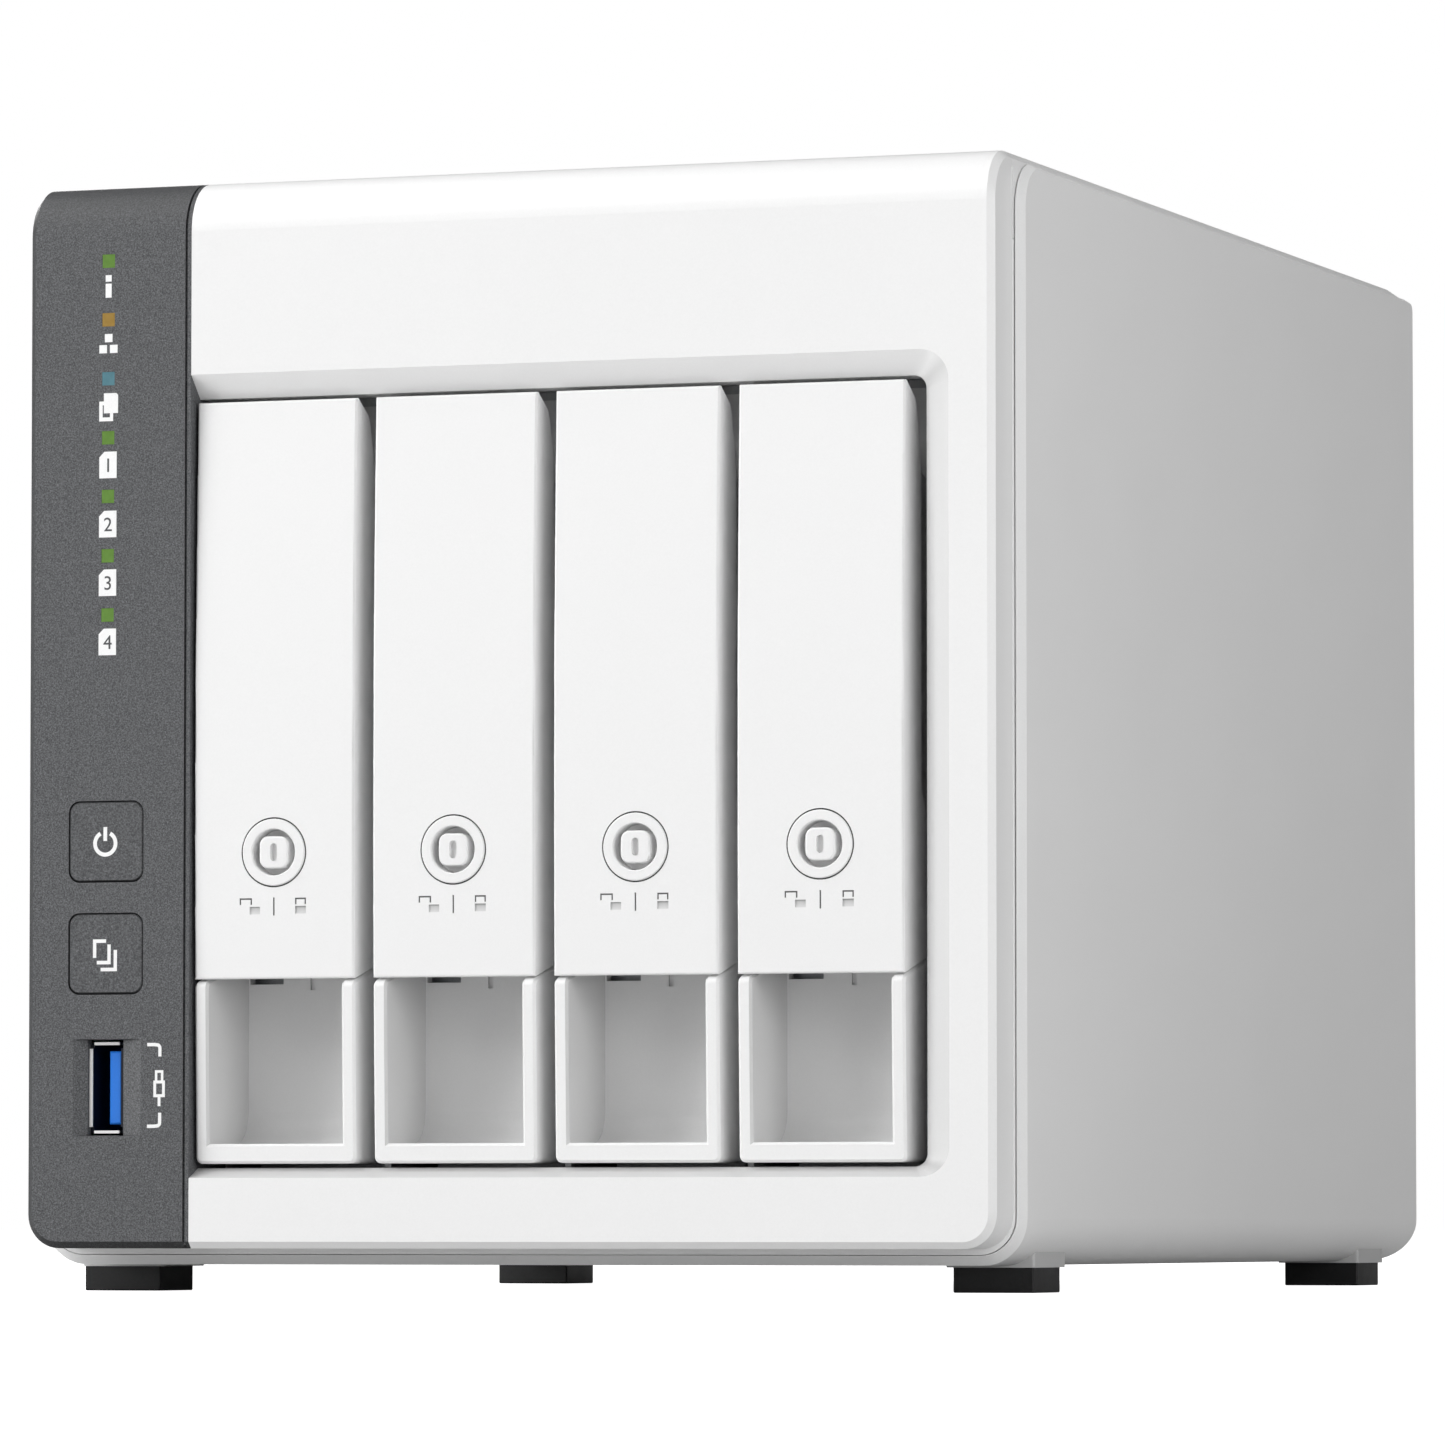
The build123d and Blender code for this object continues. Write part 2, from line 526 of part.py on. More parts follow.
# ---------------------------------------------------------------- drive cage
CAGE_X0, CAGE_X1 = -52.4, 66.5
CAGE_Y1 = 57.0
CAGE_Z0, CAGE_Z1 = 16.9, 139.0
with BuildPart() as drive_cage:
    block(CAGE_X0, CAGE_X1, -98.3, CAGE_Y1, CAGE_Z0, CAGE_Z0 + 1)
    block(CAGE_X0, CAGE_X1, -98.3, CAGE_Y1, CAGE_Z1 - 1, CAGE_Z1)
    block(CAGE_X0, CAGE_X0 + 1, -98.3, CAGE_Y1, CAGE_Z0, CAGE_Z1)
    block(CAGE_X1 - 1, CAGE_X1, -98.3, CAGE_Y1, CAGE_Z0, CAGE_Z1)
    # the right, top and bottom walls reach forward to the bezel
    block(CAGE_X1 - 1, CAGE_X1, -104.0, -98.0, CAGE_Z0, CAGE_Z1)
    block(-51.0, CAGE_X1, -104.0, -98.0, CAGE_Z1 - 1, CAGE_Z1)
    block(-51.0, CAGE_X1, -104.0, -98.0, CAGE_Z0, CAGE_Z0 + 1)
    # rear frame that carries the backplane
    block(CAGE_X0, CAGE_X1, CAGE_Y1 - 1, CAGE_Y1, CAGE_Z0, CAGE_Z1)
    block(CAGE_X0 + 4.5, CAGE_X1 - 4.5, CAGE_Y1 - 2, CAGE_Y1 + 1, CAGE_Z0 + 4.5, CAGE_Z1 - 4.5, mode=Mode.SUBTRACT)
    # walls between bays, pierced to save weight and let air through
    for i in range(BAYS - 1):
        xm = TRAY_LEFT + i * TRAY_PITCH + TRAY_W + (TRAY_PITCH - TRAY_W) / 2
        block(xm - 0.5, xm + 0.5, -102.0, 50.0, CAGE_Z0, CAGE_Z1)
    for z in (42.0, 66.0, 90.0, 114.0):
        for y in (-70.0, -30.0, 10.0):
            block(-25.0, 40.0, y - 14, y + 14, z - 7, z + 7, mode=Mode.SUBTRACT)
    for z in (40.0, 78.0, 116.0):
        block(CAGE_X0 - 1, CAGE_X0 + 2, -60.0, 20.0, z - 8, z + 8, mode=Mode.SUBTRACT)
        block(CAGE_X1 - 2, CAGE_X1 + 1, -60.0, 20.0, z - 8, z + 8, mode=Mode.SUBTRACT)
    # tray runners with side lips, below and above each tray
    for i in range(BAYS):
        xc = TRAY_LEFT + i * TRAY_PITCH + TRAY_W / 2
        block(xc - 10.4, xc + 10.4, -92.5, 50.0, CAGE_Z0 + 0.5, 22.2)
        block(xc - 9.3, xc + 9.3, -93.0, 50.5, 20.1, 23.0, mode=Mode.SUBTRACT)
        block(xc - 10.4, xc + 10.4, -92.5, 50.0, 133.8, CAGE_Z1 - 0.5)
        block(xc - 9.3, xc + 9.3, -93.0, 50.5, 133.0, 135.9, mode=Mode.SUBTRACT)
    # legs down to the shell's floor
    for x in (-46.0, 60.0):
        for y in (-84.0, 46.0):
            block(x - 5, x + 5, y - 5, y + 5, SHELL_FLOOR + 0.02, CAGE_Z0 + 0.5)
            rod_z(x, y, 1.5, SHELL_FLOOR - 1, 12.0, mode=Mode.SUBTRACT)
drive_cage.part.label = "drive_cage"
export_step(drive_cage.part, "parts/drive_cage.step")

# ---------------------------------------------------------------- backplane
with BuildPart() as backplane_board:
    block(-51.5, 65.6, 57.05, 58.65, 18.0, 138.0)
    for i in range(BAYS):
        xc = TRAY_LEFT + i * TRAY_PITCH + TRAY_W / 2
        block(xc + 9.0, xc + 12.5, 56, 60, 84.0, 132.0, mode=Mode.SUBTRACT)
    for x in (-49.6, 63.7):
        for z in (21.0, 135.0):
            rod_y(x, z, 1.6, 56, 60, mode=Mode.SUBTRACT)
backplane_board.part.label = "backplane_board"
export_step(backplane_board.part, "parts/backplane_board.step")

with BuildPart() as sata_connectors:
    for i in range(BAYS):
        xc = TRAY_LEFT + i * TRAY_PITCH + TRAY_W / 2
        block(xc - 9.4, xc - 4.2, 50.2, 57.03, 34.0, 76.0)
        block(xc - 7.5, xc - 6.1, 50.0, 55.0, 35.5, 74.5, mode=Mode.SUBTRACT)
    # edge connector towards the mainboard
    block(-50.0, -44.0, 58.67, 66.0, 60.0, 110.0)
sata_connectors.part.label = "sata_connectors"
export_step(sata_connectors.part, "parts/sata_connectors.step")


# ---------------------------------------------------------------- drive trays
def crown_arc(z0, z1, shift=0.0):
    """Arc of the crowned face between two heights, in a YZ sketch."""
    zm = (z0 + z1) / 2
    ThreePointArc((crown_y(z0) + shift, z0), (crown_y(zm) + shift, zm), (crown_y(z1) + shift, z1))


def make_tray(i):
    xl = TRAY_LEFT + i * TRAY_PITCH
    xr = xl + TRAY_W
    xc = (xl + xr) / 2
    rim_top = HANDLE_Z0 - 0.38
    with BuildPart() as tray:
        # lower end with the finger pocket
        with BuildSketch(Plane.YZ.offset(xl)):
            yf = crown_y(rim_top)
            with BuildLine():
                crown_arc(TRAY_Z0, rim_top)
                Line((yf, rim_top), (-94.0, rim_top + SEAM_SLOPE * (-94.0 - yf)))
                Line((-94.0, rim_top + SEAM_SLOPE * (-94.0 - yf)), (-94.0, TRAY_Z0))
                Line((-94.0, TRAY_Z0), (crown_y(TRAY_Z0), TRAY_Z0))
            make_face()
        extrude(amount=TRAY_W)
        # rounded lower corners (front view)
        lower = [e for e in tray.edges().filter_by(Axis.Y) if e.center().Z < TRAY_Z0 + 0.1]
        fillet(lower, 1.0)
        # rounded front ends of the rims
        top_front = [e for e in tray.edges().filter_by(Axis.X)
                     if abs(e.center().Z - rim_top) < 0.05 and e.center().Y < -111]
        fillet(top_front, 1.2)
        # pocket, with its floor curving up into the back wall
        with BuildSketch(Plane.YZ.offset(xl + RIM_T)):
            with BuildLine():
                Line((-120, 22.55), (POCKET_BACK_Y - 5, 22.55))
                RadiusArc((POCKET_BACK_Y - 5, 22.55), (POCKET_BACK_Y, 27.55), -5)
                Line((POCKET_BACK_Y, 27.55), (POCKET_BACK_Y, 60))
                Line((POCKET_BACK_Y, 60), (-120, 60))
                Line((-120, 60), (-120, 22.55))
            make_face()
        extrude(amount=TRAY_W - 2 * RIM_T, mode=Mode.SUBTRACT)
        front = [f for f in tray.faces() if f.center().Y < -111.0]
        edges = ShapeList()
        for f in front:
            edges += f.edges()
        outer = [e for e in edges if e.length > 3.0]
        seen = []
        for e in outer:
            if not any((e.center() - o.center()).length < 1e-4 for o in seen):
                seen.append(e)
        try:
            chamfer(seen, 0.4)
        except Exception as err:
            print("tray front chamfer skipped", err)
        # back plate behind the handle
        block(xl + 0.8, xr - 0.8, POCKET_BACK_Y, -94.0, 46.0, 136.4)
        # side ribs inside the handle's side walls
        for a, b in ((xl + 1.9, xl + 3.3), (xr - 3.3, xr - 1.9)):
            with BuildSketch(Plane.YZ.offset(a)):
                with BuildLine():
                    Polyline((-95.5, 52.5), (-100.0, 52.5), (-100.0, 73.5), (-103.4, 77.0), (-103.4, 125.0),
                             (-99.5, 123.6), (-95.5, 122.6), close=True)
                make_face()
            extrude(amount=b - a)
        # ears for the handle pin
        for a, b in ((xl + 3.6, xl + 6.4), (xr - 6.4, xr - 3.6)):
            with BuildSketch(Plane.YZ.offset(a)):
                with BuildLine():
                    Polyline((-95.5, 116.0), (-107.8, 118.7), (-107.8, 122.3), (-95.5, 124.5), close=True)
                make_face()
                with Locations((PIVOT_Y, PIVOT_Z)):
                    Circle(1.8)
                with Locations((PIVOT_Y, PIVOT_Z)):
                    Circle(PIN_R + 0.02, mode=Mode.SUBTRACT)
            extrude(amount=b - a)
        # horizontal ribs
        for z in (80.0, 108.0):
            block(xl + 2.5, xr - 2.5, -101.0, -95.5, z - 0.7, z + 0.7)
        # keeper behind which the lock's cam turns
        block(xc + 8.0, xc + 9.3, -109.0, -95.5, 64.5, 69.5)
        block(xc + 5.7, xc + 8.5, -109.0, -107.8, 64.5, 69.5)
        # latch slot and notch in the back wall
        block(xl + 2.45, xl + 8.0, -97.0, -93.0, 47.3, 52.0, mode=Mode.SUBTRACT)
        block(xl + 12.5, xl + 13.3, POCKET_BACK_Y - 1, POCKET_BACK_Y + 0.5, 46.4, 52.0, mode=Mode.SUBTRACT)
        # runners above and below the drive
        block(xc - 8.9, xc + 8.9, -94.5, 50.0, 20.2, DRIVE_Z0 - 0.05)
        block(xc - 8.9, xc + 8.9, -94.5, 50.0, DRIVE_Z0 + DRIVE_H + 0.05, 135.8)
        for y0, y1 in ((-84.0, -72.0), (-54.0, -8.0), (-4.0, 28.0)):
            block(xc - 5.5, xc + 5.5, y0, y1, 19.0, 25.4, mode=Mode.SUBTRACT)
            block(xc - 5.5, xc + 5.5, y0, y1, 130.6, 137.0, mode=Mode.SUBTRACT)
        for y in (-63.5, 38.1):
            rod_z(xc - 5.0, y, 1.7, 19.0, 28.0, mode=Mode.SUBTRACT)
            rod_z(xc - 5.0, y, 3.1, 19.0, 23.5, mode=Mode.SUBTRACT)
            rod_z(xc - 5.0, y, 1.7, 128.0, 137.0, mode=Mode.SUBTRACT)
            rod_z(xc - 5.0, y, 3.1, 132.5, 137.0, mode=Mode.SUBTRACT)
    return tray


def make_handle(i):
    xl = TRAY_LEFT + i * TRAY_PITCH
    xr = xl + TRAY_W
    xc = (xl + xr) / 2
    with BuildPart() as handle:
        yb = crown_y(HANDLE_Z0)
        yt = crown_y(TRAY_Z1)
        with BuildSketch(Plane.YZ.offset(xl)):
            with BuildLine():
                crown_arc(HANDLE_Z0, TRAY_Z1)
                Line((yt, TRAY_Z1), (-107.3, 134.15))
                Spline((-107.3, 134.15), (-106.3, 132.9), (-105.6, 130.6), (-104.9, 128.0), (-104.4, 124.0),
                       (-104.2, 119.0), tangents=((1.0, -0.55), (0.0, -1.0)))
                Line((-104.2, 119.0), (-104.2, 74.8))
                Line((-104.2, 74.8), (-101.0, 72.2))
                Line((-101.0, 72.2), (-101.0, HANDLE_Z0 + SEAM_SLOPE * (-101.0 - yb)))
                Line((-101.0, HANDLE_Z0 + SEAM_SLOPE * (-101.0 - yb)), (yb, HANDLE_Z0))
            make_face()
        extrude(amount=TRAY_W)
        outline = [e for e in handle.edges() if e.length > 60 and e.center().Y < -111.0]
        outline += [e for e in handle.edges().filter_by(Axis.X) if e.center().Y < -111.0]
        fillet(outline, 0.35)
        # hollow behind the 2 mm face, between 1.6 mm side walls
        with BuildSketch(Plane.YZ.offset(xl + 1.6)):
            with BuildLine():
                crown_arc(40.0, 132.3, shift=2.0)
                Line((crown_y(132.3) + 2.0, 132.3), (-106.0, 130.6))
                Line((-106.0, 130.6), (-98.0, 126.0))
                Line((-98.0, 126.0), (-98.0, 40.0))
                Line((-98.0, 40.0), (crown_y(40.0) + 2.0, 40.0))
            make_face()
        extrude(amount=TRAY_W - 3.2, mode=Mode.SUBTRACT)
        # stiffening ribs
        for z in (90.0, 104.0):
            block(xl + 1.5, xr - 1.5, -110.8, -107.2, z - 0.6, z + 0.6)
        # bosses for the pin, with blind holes
        for a, b in ((xl + 1.5, xl + 3.2), (xr - 3.2, xr - 1.5)):
            rod_x(PIVOT_Y, PIVOT_Z, 2.05, a, b)
        rod_x(PIVOT_Y, PIVOT_Z, PIN_R + 0.05, xl + 0.6, xr - 0.6, mode=Mode.SUBTRACT)
        # lock boss: a raised ring on the face inside a fine groove, and a sleeve behind it
        yl = crown_y(LOCK_Z)
        rod_y(xc, LOCK_Z, 5.36, -114.0, yl + 0.35, mode=Mode.SUBTRACT)
        rod_y(xc, LOCK_Z, 5.13, yl - 0.20, -108.9)
        rod_y(xc, LOCK_Z, 3.55, -114.0, -108.0, mode=Mode.SUBTRACT)
        # soft edge on the ring and along the face
        rings = [e for e in handle.edges().filter_by(GeomType.CIRCLE)
                 if e.center().Y < yl - 0.1 and abs(e.center().Z - LOCK_Z) < 0.1]
        try:
            chamfer(rings, 0.15)
        except Exception as err:
            print("ring chamfer skipped", err)
        # sunk marks under the lock: open padlock, bar, closed padlock
        ym = crown_y(58.8) + MARK_DEPTH
        w = MARK_LINE
        for x0, x1, z0, z1 in (
            (-5.66, -5.66 + w, 59.02, 60.02), (-5.66, -3.62, 60.02 - w, 60.02), (-3.62 - w, -3.62, 59.02, 60.02),
            (-4.00, -2.30, 57.55, 58.70),
            (-w / 2, w / 2, 57.35, 60.10),
            (3.50, 3.50 + w, 59.02, 60.02), (3.50, 5.30, 60.02 - w, 60.02), (5.30 - w, 5.30, 59.02, 60.02),
            (3.50, 5.30, 57.60, 58.76),
        ):
            block(xc + x0, xc + x1, -115.0, ym, z0, z1, mode=Mode.SUBTRACT)
    return handle


def make_lock(i):
    xc = TRAY_LEFT + i * TRAY_PITCH + TRAY_W / 2
    with BuildPart() as lock:
        rod_y(xc, LOCK_Z, 3.5, -109.9, -106.9)
        rod_y(xc, LOCK_Z, 4.3, -108.6, -107.8)
        # rounded square knob with a straight key slot
        with BuildSketch(xz(-112.5)):
            with Locations((xc, LOCK_Z)):
                RectangleRounded(4.7, 4.9, 1.35)
        extrude(amount=-2.8)
        front = [e for e in lock.edges() if e.center().Y < -112.4]
        fillet(front, 0.3)
        with BuildSketch(xz(-113.0)):
            with Locations((xc, LOCK_Z)):
                SlotOverall(2.7, 1.15, rotation=90)
        extrude(amount=-1.5, mode=Mode.SUBTRACT)
        # cam, pointing up when unlocked
        block(xc - 1.5, xc + 1.5, -107.0, -105.7, LOCK_Z - 2.5, LOCK_Z + 7.4)
    return lock


def make_drive(i):
    xc = TRAY_LEFT + i * TRAY_PITCH + TRAY_W / 2
    x0, x1 = xc - DRIVE_T / 2, xc + DRIVE_T / 2
    y1 = DRIVE_Y0 + DRIVE_L
    z1 = DRIVE_Z0 + DRIVE_H
    with BuildPart() as drive:
        block(x0, x1, DRIVE_Y0, y1, DRIVE_Z0, z1)
        fillet(drive.edges().filter_by(Axis.X), 3.0)
        # stepped cover plate
        block(x1 - 0.6, x1 + 1, DRIVE_Y0 - 1, y1 + 1, DRIVE_Z0 - 1, z1 + 1, mode=Mode.SUBTRACT)
        with BuildSketch(Plane.YZ.offset(x1 - 0.6)):
            with Locations(((DRIVE_Y0 + y1) / 2, (DRIVE_Z0 + z1) / 2)):
                RectangleRounded(DRIVE_L - 5, DRIVE_H - 5, 6)
        extrude(amount=0.6)
        # recess for the drive's own board
        block(x0 - 1, x0 + 1.6, -30.0, y1 - 12.0, DRIVE_Z0 + 6, z1 - 6, mode=Mode.SUBTRACT)
        # connector recess with its tongue
        block(xc - 9.9, xc - 3.7, 49.8, y1 + 1, 33.4, 76.6, mode=Mode.SUBTRACT)
        block(xc - 7.3, xc - 6.3, 49.5, 54.6, 36.0, 74.0)
        for y in (-63.5, 38.1):
            rod_z(xc - 5.0, y, 1.6, DRIVE_Z0 - 1, DRIVE_Z0 + 5, mode=Mode.SUBTRACT)
            rod_z(xc - 5.0, y, 1.6, z1 - 5, z1 + 1, mode=Mode.SUBTRACT)
    return drive


def make_drive_screws(i):
    xc = TRAY_LEFT + i * TRAY_PITCH + TRAY_W / 2
    z1 = DRIVE_Z0 + DRIVE_H
    with BuildPart() as screws:
        for y in (-63.5, 38.1):
            rod_z(xc - 5.0, y, 1.5, 22.6, DRIVE_Z0 + 3.5)
            rod_z(xc - 5.0, y, 2.9, 22.0, 23.45)
            rod_z(xc - 5.0, y, 1.5, z1 - 3.5, 133.4)
            rod_z(xc - 5.0, y, 2.9, 132.55, 134.0)
        for y in (-63.5, 38.1):
            block(xc - 6.6, xc - 3.4, y - 0.3, y + 0.3, 21.5, 22.5, mode=Mode.SUBTRACT)
            block(xc - 5.3, xc - 4.7, y - 1.6, y + 1.6, 21.5, 22.5, mode=Mode.SUBTRACT)
            block(xc - 6.6, xc - 3.4, y - 0.3, y + 0.3, 133.5, 134.5, mode=Mode.SUBTRACT)
            block(xc - 5.3, xc - 4.7, y - 1.6, y + 1.6, 133.5, 134.5, mode=Mode.SUBTRACT)
    return screws


for bay in range(BAYS):
    n = bay + 1
    bay_left = TRAY_LEFT + bay * TRAY_PITCH
    tray = make_tray(bay)
    tray.part.label = f"tray_{n}"
    export_step(tray.part, f"parts/tray_{n}.step")
    handle = make_handle(bay)
    handle.part.label = f"tray_handle_{n}"
    export_step(handle.part, f"parts/tray_handle_{n}.step")
    with BuildPart() as handle_pin:
        rod_x(PIVOT_Y, PIVOT_Z, PIN_R, bay_left + 0.7, bay_left + TRAY_W - 0.7)
    handle_pin.part.label = f"handle_pin_{n}"
    export_step(handle_pin.part, f"parts/handle_pin_{n}.step")
    lock = make_lock(bay)
    lock.part.label = f"tray_lock_{n}"
    export_step(lock.part, f"parts/tray_lock_{n}.step")
    drive = make_drive(bay)
    drive.part.label = f"drive_{n}"
    export_step(drive.part, f"parts/drive_{n}.step")
    screws = make_drive_screws(bay)
    screws.part.label = f"drive_screws_{n}"
    export_step(screws.part, f"parts/drive_screws_{n}.step")

# ---------------------------------------------------------------- mainboard and what it carries
MB_X0, MB_X1 = -75.6, -74.0
LAN_Z = [58.0, 78.0]
RUSB_Z = [101.0, 120.0]
DC_Z = 29.0
RESET_Z = 42.0
MB_SCREWS = [(-80.0, 20.0), (-80.0, 152.0), (80.0, 20.0), (80.0, 152.0)]
with BuildPart() as mainboard:
    block(MB_X0, MB_X1, -88.0, 108.6, 14.0, 158.0)
    for y, z in MB_SCREWS:
        rod_x(y, z, 1.7, -80, -70, mode=Mode.SUBTRACT)
mainboard.part.label = "mainboard"
export_step(mainboard.part, "parts/mainboard.step")

with BuildPart() as board_chips:
    x = MB_X1
    for y0, z0, dy, dz, h in ((-28.0, 72.0, 30.0, 30.0, 2.4), (22.0, 92.0, 14.0, 20.0, 1.2), (40.0, 60.0, 12.0, 12.0, 1.1),
                              (62.0, 84.0, 15.0, 15.0, 1.4), (-60.0, 110.0, 18.0, 10.0, 1.2), (-64.0, 60.0, 9.0, 9.0, 1.0),
                              (80.0, 100.0, 10.0, 16.0, 3.8), (-10.0, 18.0, 70.0, 6.0, 4.6), (-70.0, 134.0, 12.0, 14.0, 7.0)):
        block(x, x + h, y0, y0 + dy, z0, z0 + dz)
    for y, z, r, h in ((72.0, 30.0, 4.0, 11.0), (72.0, 41.0, 4.0, 11.0), (84.0, 142.0, 3.15, 9.0), (70.0, 142.0, 3.15, 9.0),
                       (-40.0, 124.0, 3.15, 7.0), (30.0, 126.0, 4.0, 8.0)):
        rod_x(y, z, r, x, x + h)
board_chips.part.label = "board_chips"
export_step(board_chips.part, "parts/board_chips.step")

with BuildPart() as memory_module:
    block(-71.2, -70.2, -9.0, 58.6, 24.4, 54.4)
    for y in (-4.0, 11.0, 30.0, 45.0):
        block(-70.3, -69.0, y, y + 10.0, 33.0, 47.0)
    block(-72.0, -70.9, -8.0, 58.0, 24.05, 25.4)
memory_module.part.label = "memory_module"
export_step(memory_module.part, "parts/memory_module.step")

with BuildPart() as heat_sink:
    block(-71.55, -69.4, -33.0, 7.0, 67.0, 107.0)
    for k in range(10):
        y = -32.2 + k * 4.24
        block(-69.5, -58.5, y - 0.6, y + 0.6, 67.0, 107.0)
heat_sink.part.label = "heat_sink"
export_step(heat_sink.part, "parts/heat_sink.step")

with BuildPart() as board_screws:
    for y, z in MB_SCREWS:
        rod_x(y, z, 1.5, -78.5, -73.4)
        rod_x(y, z, 2.8, -73.95, -72.4)
    for x, z in ((-73.5, 18.0), (-73.5, 158.0), (-57.0, 90.0)):
        rod_y(x, z, 1.5, -104.0, -97.5)
        rod_y(x, z, 2.7, -101.35, -100.0)
    for x in (-49.6, 63.7):
        for z in (21.0, 135.0):
            rod_y(x, z, 1.5, 57.05, 60.5)
            rod_y(x, z, 2.8, 58.7, 60.2)
board_screws.part.label = "board_screws"
export_step(board_screws.part, "parts/board_screws.step")

with BuildPart() as cage_screws:
    for x in (-46.0, 60.0):
        for y in (-84.0, 46.0):
            rod_z(x, y, 1.45, SHELL_FLOOR + 0.05, 11.5)
cage_screws.part.label = "cage_screws"
export_step(cage_screws.part, "parts/cage_screws.step")

# ---------------------------------------------------------------- rear sockets
with BuildPart() as lan_ports:
    for z in LAN_Z:
        block(MB_X1, -60.4, 89.5, 111.2, z - 8.1, z + 8.1)
    for z in LAN_Z:
        block(-72.4, -64.6, 98.5, 112, z - 5.9, z + 5.9, mode=Mode.SUBTRACT)
        block(-64.8, -62.6, 98.5, 112, z - 3.1, z + 3.1, mode=Mode.SUBTRACT)
    # spring contacts inside
    for z in LAN_Z:
        for k in range(8):
            zz = z - 3.57 + 1.02 * k
            block(-72.5, -71.7, 98.4, 107.0, zz - 0.2, zz + 0.2)
lan_ports.part.label = "lan_ports"
export_step(lan_ports.part, "parts/lan_ports.step")

with BuildPart() as rear_usb_shells:
    for z in RUSB_Z:
        block(MB_X1, -68.1, 96.0, 111.4, z - 6.6, z + 6.6)
        block(MB_X1 + 0.35, -68.45, 96.4, 112.0, z - 6.25, z + 6.25, mode=Mode.SUBTRACT)
rear_usb_shells.part.label = "rear_usb_shells"
export_step(rear_usb_shells.part, "parts/rear_usb_shells.step")

with BuildPart() as rear_usb_tongues:
    for z in RUSB_Z:
        block(-70.9, -69.1, 97.0, 110.4, z - 5.6, z + 5.6)
        block(MB_X1 + 0.4, -68.5, 96.45, 98.4, z - 6.2, z + 6.2)
rear_usb_tongues.part.label = "rear_usb_tongues"
export_step(rear_usb_tongues.part, "parts/rear_usb_tongues.step")

with BuildPart() as dc_inlet:
    block(MB_X1, -62.8, 97.0, 111.2, DC_Z - 5.0, DC_Z + 5.0)
    rod_y(-68.2, DC_Z, 3.2, 100.5, 112.0, mode=Mode.SUBTRACT)
    rod_y(-68.2, DC_Z, 1.0, 100.0, 110.6)
dc_inlet.part.label = "dc_inlet"
export_step(dc_inlet.part, "parts/dc_inlet.step")

with BuildPart() as reset_button:
    rod_y(-70.0, RESET_Z, 0.9, 105.4, 109.2)
    rod_y(-70.0, RESET_Z, 1.6, 105.4, 106.2)
reset_button.part.label = "reset_button"
export_step(reset_button.part, "parts/reset_button.step")

# ---------------------------------------------------------------- rear panel
with BuildPart() as rear_panel:
    with BuildSketch(xz(REAR_OUT)):
        with BuildLine():
            Polyline((-78.4, 14.2), (-78.4, 168.2), (78.4, 168.2), (78.4, 14.2), (73.8, 9.7), (-73.8, 9.7), close=True)
        make_face()
        with Locations((FAN_X, FAN_Z)):
            Circle(57.0, mode=Mode.SUBTRACT)
        with Locations(*[(FAN_X + a * FAN_HOLE, FAN_Z + b * FAN_HOLE) for a in (-1, 1) for b in (-1, 1)]):
            Circle(2.15, mode=Mode.SUBTRACT)
        with Locations(*[(-67.2, z) for z in LAN_Z]):
            Rectangle(14.0, 16.8, mode=Mode.SUBTRACT)
        with Locations(*[(-71.05, z) for z in RUSB_Z]):
            Rectangle(6.4, 13.7, mode=Mode.SUBTRACT)
        with Locations((-68.4, DC_Z)):
            Rectangle(11.6, 10.5, mode=Mode.SUBTRACT)
        with Locations((-70.0, RESET_Z)):
            Circle(1.1, mode=Mode.SUBTRACT)
        # slot for an anti-theft lock
        with Locations((-66.0, 140.0)):
            RectangleRounded(3.2, 7.2, 1.0, mode=Mode.SUBTRACT)
        # air slots
        with Locations((74.0, 90.0)):
            with GridLocations(1.0, 7.0, 1, 16):
                SlotOverall(7.0, 2.6, mode=Mode.SUBTRACT)
        with Locations(*REAR_SCREWS):
            Circle(1.7, mode=Mode.SUBTRACT)
    extrude(amount=REAR_OUT - REAR_IN)
    for s in (-1, 1):
        block(s * 77.4, s * 78.4, 100.5, REAR_IN + 0.1, 20.0, 156.0)
    block(-70.0, 70.0, 101.5, REAR_IN + 0.1, 167.2, 168.2)
rear_panel.part.label = "rear_panel"
export_step(rear_panel.part, "parts/rear_panel.step")

with BuildPart() as rear_screws:
    for x, z in REAR_SCREWS:
        rod_y(x, z, 1.5, 103.5, 111.2)
        rod_y(x, z, 2.9, REAR_OUT + 0.02, 112.4)
    heads = [e for e in rear_screws.edges().filter_by(GeomType.CIRCLE) if e.center().Y > 112.3]
    fillet(heads, 0.5)
    for x, z in REAR_SCREWS:
        block(x - 1.7, x + 1.7, 111.7, 113, z - 0.35, z + 0.35, mode=Mode.SUBTRACT)
        block(x - 0.35, x + 0.35, 111.7, 113, z - 1.7, z + 1.7, mode=Mode.SUBTRACT)
rear_screws.part.label = "rear_screws"
export_step(rear_screws.part, "parts/rear_screws.step")

